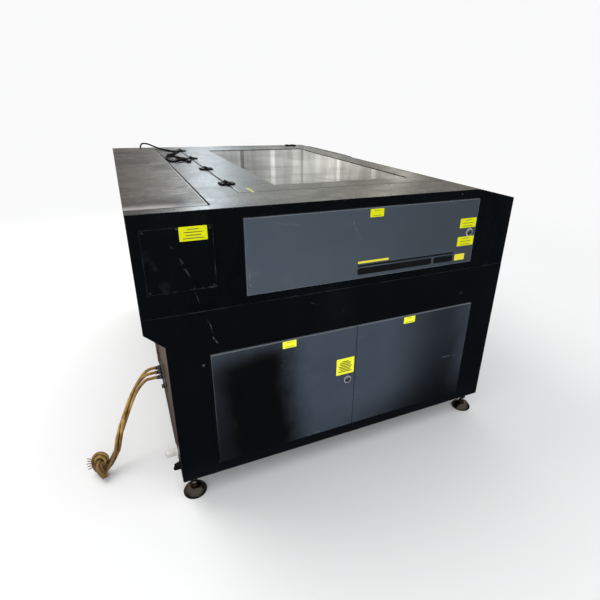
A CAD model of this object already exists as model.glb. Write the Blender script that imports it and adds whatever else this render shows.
"""The looks of a large cabinet laser engraver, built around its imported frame.

Metres, +Z up. Places are given from the upper cabinet's rear face (x, towards the front),
its left end face (y, towards the right end) and the floor (z). place() turns them into the
frame's coordinates.
"""
import math
from functools import cached_property, reduce

import bmesh
import bpy
from mathutils import Matrix, Vector


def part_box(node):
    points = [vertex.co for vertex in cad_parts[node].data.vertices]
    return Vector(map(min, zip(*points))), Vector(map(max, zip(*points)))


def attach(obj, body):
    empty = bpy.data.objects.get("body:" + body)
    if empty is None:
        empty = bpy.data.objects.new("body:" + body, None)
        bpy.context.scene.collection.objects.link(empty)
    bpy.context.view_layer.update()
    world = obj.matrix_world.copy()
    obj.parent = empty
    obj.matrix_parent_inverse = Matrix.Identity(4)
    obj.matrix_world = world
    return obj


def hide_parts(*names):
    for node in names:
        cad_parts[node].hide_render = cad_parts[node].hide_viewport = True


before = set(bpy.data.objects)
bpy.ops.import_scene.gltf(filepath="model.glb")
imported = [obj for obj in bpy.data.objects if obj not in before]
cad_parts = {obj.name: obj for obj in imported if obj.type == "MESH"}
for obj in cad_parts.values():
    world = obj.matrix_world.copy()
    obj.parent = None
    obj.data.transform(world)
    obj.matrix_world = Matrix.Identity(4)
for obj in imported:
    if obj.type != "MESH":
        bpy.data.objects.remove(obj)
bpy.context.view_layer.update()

CABINET_LOW, CABINET_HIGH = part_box("upper_cabinet")
ORIGIN_X, ORIGIN_Y = CABINET_LOW.x, CABINET_LOW.y
DEPTH = CABINET_HIGH.x - CABINET_LOW.x
LENGTH = CABINET_HIGH.y - CABINET_LOW.y
TOP = CABINET_HIGH.z
OUTWARD = {-1: "-Y", 1: "Y"}  # axis name for the left (-1) and right (1) end


def place(x, y, z):
    return Vector((x + ORIGIN_X, y + ORIGIN_Y, z))


# ================================================================ node graphs
class Graph:
    """Shorthand for building the node tree of a material or a world."""

    def __init__(self, owner, output="ShaderNodeOutputMaterial"):
        owner.use_nodes = True
        self.owner, self.tree = owner, owner.node_tree
        self.tree.nodes.clear()
        self.output = self.node(output)

    @cached_property
    def coords(self):
        return self.node("ShaderNodeTexCoord").outputs["Object"]

    @cached_property
    def normal(self):
        return self.node("ShaderNodeNewGeometry").outputs["Normal"]

    def node(self, kind, **settings):
        node = self.tree.nodes.new(kind)
        for name, value in settings.items():
            setattr(node, name, value)
        return node

    def put(self, socket, value):
        """Link a socket into this one, or set its value. Colours are given as RGB."""
        if isinstance(value, bpy.types.NodeSocket):
            self.tree.links.new(value, socket)
        else:
            socket.default_value = (*value, 1.0) if socket.type == "RGBA" else value

    def shader(self, kind, **inputs):
        node = self.node(kind)
        for name, value in inputs.items():
            self.put(node.inputs[name.replace("_", " ")], value)
        return node.outputs[0]

    def blend(self, factor, first, second):
        node = self.node("ShaderNodeMixShader")
        for socket, value in zip(node.inputs, (factor, first, second)):
            self.put(socket, value)
        return node.outputs[0]

    def surface(self, shader):
        """Send a shader to the output and hand back the finished material."""
        self.put(self.output.inputs[0], shader)
        return self.owner

    def principled(self, **inputs):
        return self.surface(self.shader("ShaderNodeBsdfPrincipled", **inputs))

    def calc(self, operation, first, second=None, clamp=False):
        node = self.node("ShaderNodeMath", operation=operation, use_clamp=clamp)
        self.put(node.inputs[0], first)
        if second is not None:
            self.put(node.inputs[1], second)
        return node.outputs[0]

    def mul(self, first, *rest):
        return self.calc("MULTIPLY", first, rest[0] if len(rest) == 1 else self.mul(*rest))

    def add(self, first, second):
        return self.calc("ADD", first, second)

    def sub(self, first, second):
        return self.calc("SUBTRACT", first, second)

    def size(self, value):
        return self.calc("ABSOLUTE", value)

    def strongest(self, masks):
        return reduce(lambda one, other: self.calc("MAXIMUM", one, other), masks)

    def vec(self, operation, first, second=None):
        node = self.node("ShaderNodeVectorMath", operation=operation)
        self.put(node.inputs[0], first)
        if second is not None:
            self.put(node.inputs["Scale" if operation == "SCALE" else 1], second)
        return node.outputs[1 if operation in ("DOT_PRODUCT", "LENGTH") else 0]

    def mix(self, factor, first, second):
        node = self.node("ShaderNodeMix", data_type="RGBA")
        self.put(node.inputs["Factor"], factor)
        self.put(node.inputs["A"], first)
        self.put(node.inputs["B"], second)
        return node.outputs["Result"]

    def noise(self, scale=1.0, detail=4.0, rough=0.55, at=None, distort=0.0):
        node = self.node("ShaderNodeTexNoise")
        self.put(node.inputs["Vector"], self.coords if at is None else at)
        node.inputs["Scale"].default_value = scale
        node.inputs["Detail"].default_value = detail
        node.inputs["Roughness"].default_value = rough
        node.inputs["Distortion"].default_value = distort
        return node.outputs["Fac"]

    def cells(self, scale):
        node = self.node("ShaderNodeTexVoronoi")
        self.put(node.inputs["Vector"], self.coords)
        node.inputs["Scale"].default_value = scale
        return node.outputs["Distance"]

    def ramp(self, value, over, to=(0.0, 1.0), smooth=True):
        """Map the range `over` onto the range `to`."""
        kind = "SMOOTHSTEP" if smooth else "LINEAR"
        node = self.node("ShaderNodeMapRange", interpolation_type=kind)
        for i, item in enumerate((value, *over, *to)):
            self.put(node.inputs[i], item)
        return node.outputs[0]

    def stops(self, value, marks):
        """A colour for each (place, colour) mark along a scale."""
        low, high = marks[0][0], marks[-1][0]
        node = self.node("ShaderNodeValToRGB")
        self.put(node.inputs[0], self.ramp(value, over=(low, high), smooth=False))
        ends = node.color_ramp.elements
        while len(ends) > 1:
            ends.remove(ends[-1])
        for k, (at, colour) in enumerate(marks):
            position = (at - low) / (high - low)
            end = ends.new(position) if k else ends[0]
            end.position = position
            end.color = (*colour, 1.0)
        return node.outputs[0]

    def stretch(self, x, y, z, turn=(0.0, 0.0, 0.0)):
        node = self.node("ShaderNodeMapping")
        self.put(node.inputs["Vector"], self.coords)
        node.inputs["Rotation"].default_value = turn
        node.inputs["Scale"].default_value = (x, y, z)
        return node.outputs[0]

    def split(self, vector):
        node = self.node("ShaderNodeSeparateXYZ")
        self.put(node.inputs[0], vector)
        return node.outputs

    def bump(self, height, strength, distance):
        node = self.node("ShaderNodeBump")
        self.put(node.inputs["Height"], height)
        node.inputs["Strength"].default_value = strength
        node.inputs["Distance"].default_value = distance
        return node.outputs[0]

    def edge(self, radius, over=(0.02, 0.30)):
        """1 on the sharp corners of a piece, where paint wears."""
        node = self.node("ShaderNodeBevel", samples=4)
        node.inputs["Radius"].default_value = radius
        apart = self.vec("DOT_PRODUCT", node.outputs[0], self.normal)
        return self.ramp(self.sub(1, apart), over=over)

    def hairlines(self, width=0.0022, scale=5.0, turn=(0.3, 0.9, 0.5), chance=0.60):
        """Long thin scratches: level lines of a stretched noise, broken up by a second one."""
        at = self.stretch(1, 1, 4.5, turn)
        line = self.size(self.sub(self.noise(scale=scale, detail=1, rough=0.4, at=at), 0.5))
        thin = self.ramp(line, over=(0, width), to=(1, 0))
        patches = self.noise(scale=scale * 1.7, detail=2, rough=0.5)
        return self.mul(thin, self.ramp(patches, over=(chance, chance + 0.10)))

    def stroke(self, start, end, width, breakup):
        """A scratch between two places in frame coordinates."""
        along = end - start
        offset = self.vec("SUBTRACT", self.coords, tuple(start))
        share = self.vec("DOT_PRODUCT", offset, tuple(along))
        share = self.calc("DIVIDE", share, along.length_squared, clamp=True)
        off = self.vec("SUBTRACT", offset, self.vec("SCALE", tuple(along), share))
        far = self.vec("LENGTH", off)
        wander = self.mul(self.sub(self.noise(scale=14, detail=3), 0.5), width * 9)
        far = self.size(self.add(far, wander))
        mark = self.ramp(far, over=(width * 0.3, width), to=(1, 0))
        gaps = self.noise(scale=breakup, detail=3)
        return self.mul(mark, self.ramp(gaps, over=(0.38, 0.60)))

    def strokes(self, scratches, breakup):
        """Masks for a table of (y, start x, start z, end x, end z, width, strength)."""
        return [
            self.mul(self.stroke(place(x0, y, z0), place(x1, y, z1), width, breakup), strength)
            for y, x0, z0, x1, z1, width, strength in scratches
        ]


def new_material(name):
    return Graph(bpy.data.materials.new(name))


# ================================================================ materials
# Scratches, all on the left side: y, start x, start z, end x, end z, width, strength
LEFT_END_SCRATCHES = (
    (-0.002, 0.1078, 1.004, 0.1277, 0.9768, 0.0044, 0.075),
    (-0.002, 0.1277, 0.9768, 0.146, 0.926, 0.0036, 0.070),
    (-0.002, 0.146, 0.926, 0.1613, 0.8914, 0.0026, 0.110),
    (-0.002, 0.1613, 0.8914, 0.1688, 0.858, 0.0016, 0.260),
    (-0.0002, 0.1688, 0.852, 0.1801, 0.7932, 0.0011, 0.100),
    (-0.0002, 0.1939, 0.7553, 0.2082, 0.7164, 0.0012, 0.200),
    (-0.0002, 0.2082, 0.7164, 0.2124, 0.6716, 0.0012, 0.190),
    (-0.0002, 0.2124, 0.6716, 0.2241, 0.6519, 0.0018, 0.240),
    (-0.002, 0.105, 0.8566, 0.2366, 0.8562, 0.0018, 0.130),
    (-0.002, 0.2364, 0.858, 0.2364, 0.950, 0.0016, 0.080),
    (-0.001, 0.045, 0.975, 0.066, 0.925, 0.0120, 0.014),
    (-0.001, 0.060, 0.905, 0.085, 0.870, 0.0120, 0.014),
    (-0.001, 1.338, 0.452, 1.360, 0.448, 0.0016, 0.20),
    (-0.001, 0.560, 0.742, 0.590, 0.728, 0.0010, 0.14),
    (-0.001, 0.690, 0.700, 0.700, 0.672, 0.0010, 0.12),
)
BASE_DOOR_SCRATCHES = (
    (-0.006, 1.1969, 0.3635, 1.2899, 0.3596, 0.0013, 0.26),
    (-0.006, 1.2020, 0.3560, 1.2480, 0.3610, 0.0011, 0.18),
    (-0.006, 0.7700, 0.5540, 0.8052, 0.5684, 0.0012, 0.20),
    (-0.006, 0.5560, 0.1500, 0.6060, 0.1480, 0.0014, 0.22),
)
PASS_DOOR_SCRATCHES = (
    (-0.006, 0.4157, 1.0490, 0.4861, 1.0329, 0.0040, 0.10),
    (-0.006, 0.4600, 1.0380, 0.5300, 1.0300, 0.0030, 0.08),
    (-0.006, 0.7170, 1.0224, 0.7300, 0.9900, 0.0016, 0.16),
    (-0.006, 0.7400, 0.9700, 0.7623, 0.9386, 0.0016, 0.14),
    (-0.006, 0.3400, 1.0300, 0.3440, 0.8400, 0.0014, 0.22),
)


def dust_film(mat, up, dust):
    """Wiped and patchy dust with specks, on the faces that look up."""
    wide_wipes = mat.stretch(2.6, 15, 3, turn=(0, 0, 0.10))
    fine_wipes = mat.stretch(9, 70, 9, turn=(0, 0, 0.06))
    wipes = mat.noise(at=wide_wipes, detail=6, rough=0.62, distort=0.6)
    fine = mat.noise(at=fine_wipes, detail=5, rough=0.65, distort=0.4)
    patches = mat.noise(scale=3.4, detail=6, rough=0.6, distort=0.4)
    wipe = mat.add(
        mat.ramp(wipes, over=(0.36, 0.72), to=(0, 0.38)),
        mat.ramp(fine, over=(0.40, 0.70), to=(0, 0.20)),
    )
    film = mat.mul(up, mat.add(wipe, mat.ramp(patches, over=(0.38, 0.70), to=(0, 0.40))))
    specks = mat.mul(
        mat.ramp(mat.cells(scale=330), over=(0.10, 0.22), to=(1, 0)),
        mat.ramp(mat.noise(scale=30, detail=2), over=(0.42, 0.58)),
    )
    specks = mat.mul(mat.mul(specks, up), 0.90)
    return mat.mul(mat.add(film, specks), dust)


def cover_smears(mat, colour, up, x, y):
    """Smudges and soot on top, and a pale band along the left end.

    Returns the colour and the two masks."""
    smudge_colour, soot_colour = (0.36, 0.33, 0.31), (0.020, 0.016, 0.013)
    band_colour = (0.40, 0.372, 0.378)
    ragged = mat.mul(mat.sub(mat.noise(scale=18, detail=4), 0.5), 0.030)
    band = mat.ramp(
        mat.add(y, ragged), over=(ORIGIN_Y + 0.066, ORIGIN_Y + 0.128), to=(0.74, 0)
    )
    band = mat.mul(band, up)
    band = mat.mul(band, mat.ramp(x, over=(ORIGIN_X + 0.060, ORIGIN_X + 0.215), to=(1, 0.22)))
    swirl = mat.noise(scale=5.5, detail=6, rough=0.62, distort=1.6)
    smudge = mat.mul(mat.ramp(swirl, over=(0.50, 0.64)), up)
    colour = mat.mix(mat.mul(smudge, 0.16), colour, smudge_colour)
    soot_cloud = mat.noise(scale=3.8, detail=5, rough=0.6, distort=1)
    soot = mat.mul(mat.ramp(soot_cloud, over=(0.46, 0.66)), up)
    colour = mat.mix(mat.mul(soot, 0.34), colour, soot_colour)
    return mat.mix(band, colour, band_colour), smudge, soot


def black_coat(
    name, dust, rough=0.34, base=(0.0008, 0.0015, 0.0022), scratches=(), pale_end=False
):
    """Fine textured black powder coat with dust on top, rubbed edges and hair scratches."""
    dust_colour = (0.270, 0.215, 0.170) if pale_end else (0.245, 0.226, 0.198)
    haze_colour, bare_colour = (0.20, 0.21, 0.22), (0.36, 0.38, 0.40)
    mat = new_material(name)
    cloud = mat.noise(scale=2.3, detail=5, rough=0.6)
    blotch = mat.noise(scale=13, detail=4, rough=0.6)
    colour = mat.mix(mat.ramp(cloud, over=(0.35, 0.70)), base, tuple(c * 1.7 for c in base))
    x, y, z = mat.split(mat.coords)
    up = mat.ramp(mat.split(mat.normal)[2], over=(0.55, 0.95))
    film = dust_film(mat, up, dust)
    colour = mat.mix(film, colour, dust_colour)
    if pale_end:
        colour, smudge, soot = cover_smears(mat, colour, up, x, y)
    # haze on the upright faces, and a faint film near the floor
    side = mat.sub(1, up)
    streaks = mat.noise(at=mat.stretch(5, 5, 1.1), detail=6, rough=0.65)
    haze = mat.mul(side, mat.ramp(streaks, over=(0.48, 0.80), to=(0, 0.010)))
    height = mat.add(z, mat.mul(mat.noise(scale=6, detail=4), 0.10))
    low = mat.mul(side, mat.ramp(height, over=(0.13, 0.26), to=(0.008, 0)))
    colour = mat.mix(mat.add(haze, low), colour, haze_colour)
    # scratches and worn edges
    short_hairs = mat.hairlines(width=0.0015, scale=9, turn=(1.1, 0.2, 2.0), chance=0.58)
    marks = [mat.mul(mat.hairlines(), 0.10), mat.mul(short_hairs, 0.08)]
    marks += mat.strokes(scratches, breakup=45)
    rubbed = mat.ramp(mat.noise(scale=30, detail=4), over=(0.36, 0.66), to=(0.08, 0.60))
    marks.append(mat.mul(mat.mul(mat.edge(radius=0.0024), rubbed), 0.50))
    mark = mat.strongest(marks)
    colour = mat.mix(mark, colour, bare_colour)
    peel = mat.noise(scale=620, detail=2, rough=0.5)
    grain = mat.noise(scale=150, detail=3, rough=0.5)
    relief = mat.add(mat.mul(peel, 0.6), mat.mul(grain, 0.4))
    grit = mat.ramp(mat.noise(scale=190, detail=3, rough=0.65), over=(0.40, 0.66))
    gloss = mat.ramp(blotch, over=(0.30, 0.75), to=(rough - 0.04, rough + 0.06))
    gloss = mat.add(gloss, mat.mul(mat.mul(up, grit), 0.10))
    gloss = mat.add(gloss, mat.mul(film, 0.25))
    if pale_end:
        gloss = mat.add(gloss, mat.mul(mat.sub(soot, smudge), 0.10))
    relief = mat.sub(relief, mat.mul(mark, 0.5))
    return mat.principled(
        Base_Color=colour,
        Roughness=gloss,
        Normal=mat.bump(relief, strength=0.22, distance=0.0007),
        Specular_IOR_Level=0.50,
    )


def base_door_soot(mat, x, z):
    """Soft sooty patches on the base doors, 0 to 1."""
    sway = mat.mul(mat.sub(mat.noise(scale=4, detail=5, rough=0.6), 0.5), 0.16)
    across = mat.sub(mat.add(x, sway), ORIGIN_X)
    height = mat.add(z, mat.mul(sway, 0.7))
    wide = mat.sub(across, mat.ramp(z, over=(0.14, 0.45), to=(0.045, 0)))
    patches = (
        mat.mul(  # rear door
            mat.ramp(across, over=(0.115, 0.275), to=(0.40, 1)),
            mat.ramp(wide, over=(0.400, 0.575), to=(1, 0)),
            mat.ramp(height, over=(0.520, 0.645), to=(1, 0.10)),
        ),
        mat.mul(  # front door
            mat.ramp(across, over=(0.860, 1.190)),
            mat.ramp(across, over=(1.210, 1.360), to=(1, 0.35)),
            mat.ramp(height, over=(0.240, 0.520), to=(0.86, 0.66)),
        ),
        mat.mul(  # along the bottom
            mat.ramp(height, over=(0.120, 0.330), to=(0.80, 0)),
            mat.ramp(across, over=(0.620, 1.150), to=(0.25, 1)),
        ),
        mat.mul(  # low rear corner
            mat.ramp(across, over=(0.190, 0.260), to=(0.55, 0)),
            mat.ramp(height, over=(0.300, 0.560), to=(0.9, 0)),
        ),
    )
    clear = mat.sub(1, patches[0])
    for patch in patches[1:]:
        clear = mat.mul(clear, mat.sub(1, patch))
    return mat.sub(1, clear)


def slate_coat(name, soot=0.0, fade=False, scratches=()):
    """Grey-blue semi-gloss powder coat.

    soot is the strength of the darkening on the base doors; fade darkens towards the front."""
    tones = (0.046, 0.063, 0.086), (0.058, 0.077, 0.104)
    grime_colour, soot_colour = (0.110, 0.122, 0.134), (0.0014, 0.0013, 0.0012)
    haze_colour, front_colour = (0.16, 0.18, 0.20), (0.012, 0.016, 0.020)
    bare_colour, dust_colour = (0.34, 0.39, 0.43), (0.42, 0.46, 0.49)
    door_seam_x = ORIGIN_X + 0.7575
    mat = new_material(name)
    cloud = mat.noise(scale=2, detail=5, rough=0.55)
    colour = mat.mix(mat.ramp(cloud, over=(0.30, 0.72)), *tones)
    grime = mat.noise(scale=9, detail=6, rough=0.65, distort=0.3)
    colour = mat.mix(mat.ramp(grime, over=(0.56, 0.80), to=(0, 0.30)), colour, grime_colour)
    x, _, z = mat.split(mat.coords)
    upper_faces = mat.ramp(
        mat.split(mat.normal)[2], over=(0.30, 0.75), to=(0, 0.30 if fade else 0.44)
    )
    if fade:
        reach = (ORIGIN_X + 0.40, ORIGIN_X + 1.34)
        forward = mat.ramp(x, over=reach, to=(0, 0.42), smooth=False)
        colour = mat.mix(forward, mat.mix(0.12, colour, haze_colour), front_colour)
    if soot:
        colour = mat.mix(mat.mul(base_door_soot(mat, x, z), soot), colour, soot_colour)
    rubbed = mat.ramp(mat.noise(scale=22, detail=4), over=(0.26, 0.56), to=(0.45, 1))
    worn = mat.mul(mat.edge(radius=0.0040, over=(0.01, 0.22)), rubbed)
    if soot:
        # the paint is whole beside the seam between the doors and less worn low down
        seam = mat.size(mat.sub(x, door_seam_x))
        worn = mat.mul(
            worn,
            mat.ramp(seam, over=(0.010, 0.020)),
            mat.ramp(z, over=(0.17, 0.42), to=(0.10, 1)),
        )
    long_hairs = mat.hairlines(width=0.0018, scale=4, turn=(0.2, 0.5, 0.1))
    short_hairs = mat.hairlines(width=0.0016, scale=8, turn=(0.9, 1.4, 0.4))
    chips = mat.ramp(mat.cells(scale=26), over=(0.020, 0.034), to=(1, 0))
    chips = mat.mul(chips, mat.ramp(mat.noise(scale=4, detail=1), over=(0.54, 0.60)))
    marks = [
        mat.mul(worn, 0.46 if soot else 0.60),
        mat.mul(long_hairs, 0.20),
        mat.mul(short_hairs, 0.16),
        mat.mul(chips, 0.45),
    ]
    mark = mat.strongest(marks + mat.strokes(scratches, breakup=60))
    colour = mat.mix(mark, colour, bare_colour)
    colour = mat.mix(upper_faces, colour, dust_colour)
    peel = mat.noise(scale=520, detail=2, rough=0.5)
    relief = mat.sub(peel, mat.mul(mark, 0.5))
    return mat.principled(
        Base_Color=colour,
        Roughness=mat.ramp(mat.noise(scale=6, detail=5), over=(0.30, 0.75), to=(0.32, 0.46)),
        Normal=mat.bump(relief, strength=0.16, distance=0.0005),
        Specular_IOR_Level=0.40,
    )


def metal(name, colour, rough=0.30, brush=(1, 1, 1), tarnish=0.25, stain=(0.16, 0.13, 0.10)):
    """Bare or plated metal with a brushed grain, smears and tarnish of the stain colour."""
    mat = new_material(name)
    grain = mat.noise(at=mat.stretch(*[420 * b for b in brush]), detail=4, rough=0.6)
    smear = mat.noise(scale=24, detail=5, rough=0.6, distort=0.5)
    spots = mat.noise(scale=60, detail=5, rough=0.65)
    spots = mat.ramp(spots, over=(0.54, 0.76), to=(0, tarnish))
    darker = tuple(c * 0.84 for c in colour)
    tint = mat.mix(mat.ramp(smear, over=(0.35, 0.70)), darker, colour)
    gloss = mat.ramp(smear, over=(0.30, 0.75), to=(rough * 0.75, rough * 1.25))
    return mat.principled(
        Base_Color=mat.mix(spots, tint, stain),
        Metallic=mat.sub(1, mat.mul(spots, 0.6)),
        Roughness=mat.add(gloss, mat.mul(spots, 0.4)),
        Normal=mat.bump(grain, strength=0.12, distance=0.0003),
    )


def plastic(name, colour, rough=0.42, bump=0.10, spec=0.5, dust=0.10):
    """Moulded plastic or rubber, a little dusty on top and pale at its edges."""
    dust_colour, edge_colour = (0.26, 0.24, 0.21), (0.45, 0.45, 0.44)
    mat = new_material(name)
    cloud = mat.ramp(mat.noise(scale=35, detail=4, rough=0.6), over=(0.30, 0.75))
    darker = tuple(c * 0.86 for c in colour)
    lighter = tuple(min(1.0, c * 1.12) for c in colour)
    tint = mat.mix(cloud, darker, lighter)
    up = mat.ramp(mat.split(mat.normal)[2], over=(0.2, 1))
    film = mat.ramp(mat.noise(scale=55, detail=5), over=(0.42, 0.72), to=(0, dust))
    tint = mat.mix(mat.mul(up, film), tint, dust_colour)
    tint = mat.mix(mat.mul(mat.edge(radius=0.0012), 0.16), tint, edge_colour)
    return mat.principled(
        Base_Color=tint,
        Roughness=mat.ramp(
            mat.noise(scale=90, detail=3), over=(0.30, 0.70), to=(rough - 0.06, rough + 0.10)
        ),
        Normal=mat.bump(mat.noise(scale=1400, detail=2), strength=bump, distance=0.0003),
        Specular_IOR_Level=spec,
    )


def sticker_vinyl(name, colour):
    """Printed vinyl with grimy specks."""
    grime_colour = (0.20, 0.19, 0.05)
    mat = new_material(name)
    fade = mat.noise(scale=70, detail=4, rough=0.6)
    faded = tuple(c * 0.90 for c in colour)
    tint = mat.mix(mat.ramp(fade, over=(0.35, 0.75)), colour, faded)
    grime = mat.noise(scale=220, detail=5, rough=0.7)
    grime = mat.ramp(grime, over=(0.58, 0.76), to=(0, 0.24))
    return mat.principled(
        Base_Color=mat.mix(grime, tint, grime_colour),
        Roughness=mat.ramp(fade, over=(0.30, 0.70), to=(0.40, 0.56)),
        Normal=mat.bump(mat.noise(scale=240, detail=3), strength=0.10, distance=0.0005),
        Specular_IOR_Level=0.13,
    )


def hose_rubber(name):
    """Amber translucent hose, darker near the floor, with dirt in its bends."""
    tones = (0.185, 0.085, 0.011), (0.640, 0.412, 0.112)
    dirt_colour, low_colour = (0.100, 0.052, 0.014), (0.110, 0.060, 0.020)
    contact_colour = (0.036, 0.015, 0.004)
    mat = new_material(name)
    cloud = mat.noise(scale=17, detail=5, rough=0.6)
    tint = mat.mix(mat.ramp(cloud, over=(0.32, 0.70)), *tones)
    dirt = mat.noise(scale=60, detail=6, rough=0.7, distort=0.6)
    tint = mat.mix(mat.ramp(dirt, over=(0.48, 0.72), to=(0, 0.70)), tint, dirt_colour)
    low = mat.ramp(mat.split(mat.coords)[2], over=(0.03, 0.17), to=(0.66, 0))
    tint = mat.mix(low, tint, low_colour)
    # strands shade one another where they touch
    near = mat.node("ShaderNodeAmbientOcclusion", samples=4)
    near.inputs["Distance"].default_value = 0.012
    contact = mat.ramp(near.outputs["AO"], over=(0.30, 0.92), to=(0.95, 0))
    return mat.principled(
        Base_Color=mat.mix(contact, tint, contact_colour),
        Roughness=mat.ramp(cloud, over=(0.30, 0.70), to=(0.20, 0.34)),
        Normal=mat.bump(mat.noise(scale=260, detail=3), strength=0.10, distance=0.0006),
        Subsurface_Weight=0.10,
        Subsurface_Radius=(0.008, 0.005, 0.002),
        Subsurface_Scale=1.0,
        IOR=1.50,
        Coat_Weight=0.48,
        Coat_Roughness=0.16,
    )


def clear_sheet(name, tint, clear, rough, rough_spread, film):
    """Clear acrylic or glass: mostly see-through, a mirror at a glancing angle, with smears.

    film is the cover of the smears where they are heaviest."""
    mat = new_material(name)
    at = mat.stretch(1.6, 4.2, 1, turn=(0, 0, 0.5))
    smear = mat.noise(scale=3, detail=6, rough=0.62, at=at, distort=0.8)
    gloss = mat.ramp(smear, over=(0.40, 0.75), to=(rough, rough + rough_spread))
    through = mat.blend(
        mat.ramp(smear, over=(0.42, 0.80), to=(0.02, film)),
        mat.shader("ShaderNodeBsdfTransparent", Color=[c * clear for c in tint]),
        mat.shader("ShaderNodeBsdfDiffuse", Color=(0.55, 0.54, 0.50)),
    )
    shine = mat.shader("ShaderNodeBsdfGlossy", Color=(1, 1, 1), Roughness=gloss)
    fresnel = mat.shader("ShaderNodeFresnel", IOR=1.62)
    return mat.surface(mat.blend(fresnel, through, shine))


def glow(name, colour, strength):
    mat = new_material(name)
    gloss = mat.ramp(mat.noise(scale=200, detail=2), over=(0.3, 0.7), to=(0.22, 0.34))
    return mat.principled(
        Base_Color=colour, Roughness=gloss, Emission_Color=colour, Emission_Strength=strength
    )


WIRE = {"rough": 0.40, "bump": 0.05}
FINISHES = {
    "deck": black_coat("black_coat_deck", dust=0.30, rough=0.25),
    "cover": black_coat(
        "black_coat_cover", dust=0.40, base=(0.0040, 0.0030, 0.0024), pale_end=True
    ),
    "body": black_coat("black_coat_body", dust=0.30, rough=0.25, scratches=LEFT_END_SCRATCHES),
    "base": black_coat("black_coat_base", dust=0.30, rough=0.32, scratches=LEFT_END_SCRATCHES),
    "inside": black_coat("black_coat_inside", dust=0.42),
    "slate": slate_coat("slate_coat"),
    "slate_high": slate_coat("slate_coat_high", fade=True, scratches=PASS_DOOR_SCRATCHES),
    "slate_low": slate_coat("slate_coat_low", soot=0.99, scratches=BASE_DOOR_SCRATCHES),
    "zinc": metal("zinc_plate", (0.56, 0.55, 0.50), rough=0.36, tarnish=0.55),
    "chrome": metal("chrome_plate", (0.80, 0.80, 0.81), rough=0.14, tarnish=0.12),
    "steel": metal("bright_steel", (0.56, 0.56, 0.55), tarnish=0.30),
    "foot": metal(
        "foot_steel", (0.205, 0.172, 0.128), rough=0.20, brush=(1, 1, 0.05),
        tarnish=0.85, stain=(0.030, 0.021, 0.013),
    ),
    "alu": metal(
        "anodised_aluminium", (0.72, 0.73, 0.74), rough=0.34, brush=(0.03, 0.03, 1), tarnish=0.10
    ),
    "alu_y": metal(
        "extruded_aluminium", (0.66, 0.67, 0.69), rough=0.36, brush=(1, 0.02, 1), tarnish=0.12
    ),
    "brass": metal(
        "brass", (0.72, 0.50, 0.20), rough=0.28, tarnish=0.35, stain=(0.14, 0.09, 0.03)
    ),
    "copper": metal("copper", (0.78, 0.36, 0.20)),
    "bed": metal(
        "bed_aluminium", (0.50, 0.49, 0.47), rough=0.42, brush=(0.03, 1, 1),
        tarnish=0.75, stain=(0.05, 0.035, 0.025),
    ),
    "black": plastic("black_plastic", (0.012, 0.012, 0.013), rough=0.40),
    "rubber": plastic("cable_rubber", (0.0032,) * 3, rough=0.62, bump=0.16, spec=0.10, dust=0.01),
    "hinge": plastic(
        "hinge_black", (0.0028, 0.0030, 0.0033), rough=0.66, bump=0.12, spec=0.08, dust=0.01
    ),
    "nickel": metal("satin_nickel", (0.80, 0.80, 0.79), rough=0.42, tarnish=0.15),
    "grey": plastic("grey_plastic", (0.52, 0.51, 0.47), rough=0.46),
    "white": plastic("white_plastic", (0.76, 0.75, 0.70), rough=0.40),
    "string": plastic("brown_string", (0.17, 0.12, 0.068), rough=0.60, bump=0.2, spec=0.3),
    "rim": plastic("bright_rim", (0.34, 0.35, 0.36), rough=0.20, bump=0.04, spec=0.8, dust=0),
    "yellow_faded": sticker_vinyl("yellow_faded", (0.50, 0.50, 0.16)),
    "silicone": plastic("silicone_tube", (0.70, 0.72, 0.72), rough=0.30, bump=0.05, dust=0.04),
    "red": plastic("red_plastic", (0.50, 0.012, 0.010), rough=0.30, bump=0.05, dust=0.03),
    "red_wire": plastic("red_wire", (0.42, 0.012, 0.010), **WIRE),
    "blue_wire": plastic("blue_wire", (0.012, 0.050, 0.30), **WIRE),
    "green": plastic("green_plastic", (0.02, 0.22, 0.06), bump=0.06),
    "board": plastic("circuit_board", (0.010, 0.065, 0.030), rough=0.36, bump=0.05),
    "yellow": sticker_vinyl("yellow_vinyl", (0.70, 0.72, 0.001)),
    "yellow_low": sticker_vinyl("yellow_vinyl_low", (1, 1, 0.045)),
    "yellow_line": sticker_vinyl("yellow_line", (0.80, 0.72, 0.05)),
    "bars": plastic("print_grey", (0.095, 0.090, 0.012), rough=0.45, bump=0.04),
    "ink": plastic(
        "print_black", (0.006, 0.007, 0.008), rough=0.34, bump=0.05, spec=0.4, dust=0
    ),
    "hose": hose_rubber("amber_hose"),
    "window": clear_sheet(
        "window_acrylic", (0.80, 0.84, 0.80), clear=0.62, rough=0.014, rough_spread=0.045,
        film=0.085,
    ),
    "glass": clear_sheet(
        "tube_glass", (0.92, 0.96, 0.97), clear=0.97, rough=0.02, rough_spread=0.02, film=0.04
    ),
    "display": plastic(
        "display_glass", (0.010, 0.014, 0.020), rough=0.10, bump=0, spec=0.6, dust=0.05
    ),
    "lamp": glow("status_lamp", (0.05, 0.75, 0.12), strength=0.6),
    "bore": plastic("dark_bore", (0.004,) * 3, rough=0.70, bump=0.05, spec=0.2, dust=0),
}


# ================================================================ mesh pieces
def turn_to(axis):
    """The rotation that lays +Z along an axis, named like "-X" or given as a vector."""
    if isinstance(axis, str):
        sign = -1 if axis[0] == "-" else 1
        axis = [sign * (name == axis[-1]) for name in "XYZ"]
    return Vector((0, 0, 1)).rotation_difference(Vector(axis).normalized()).to_matrix().to_4x4()


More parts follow.
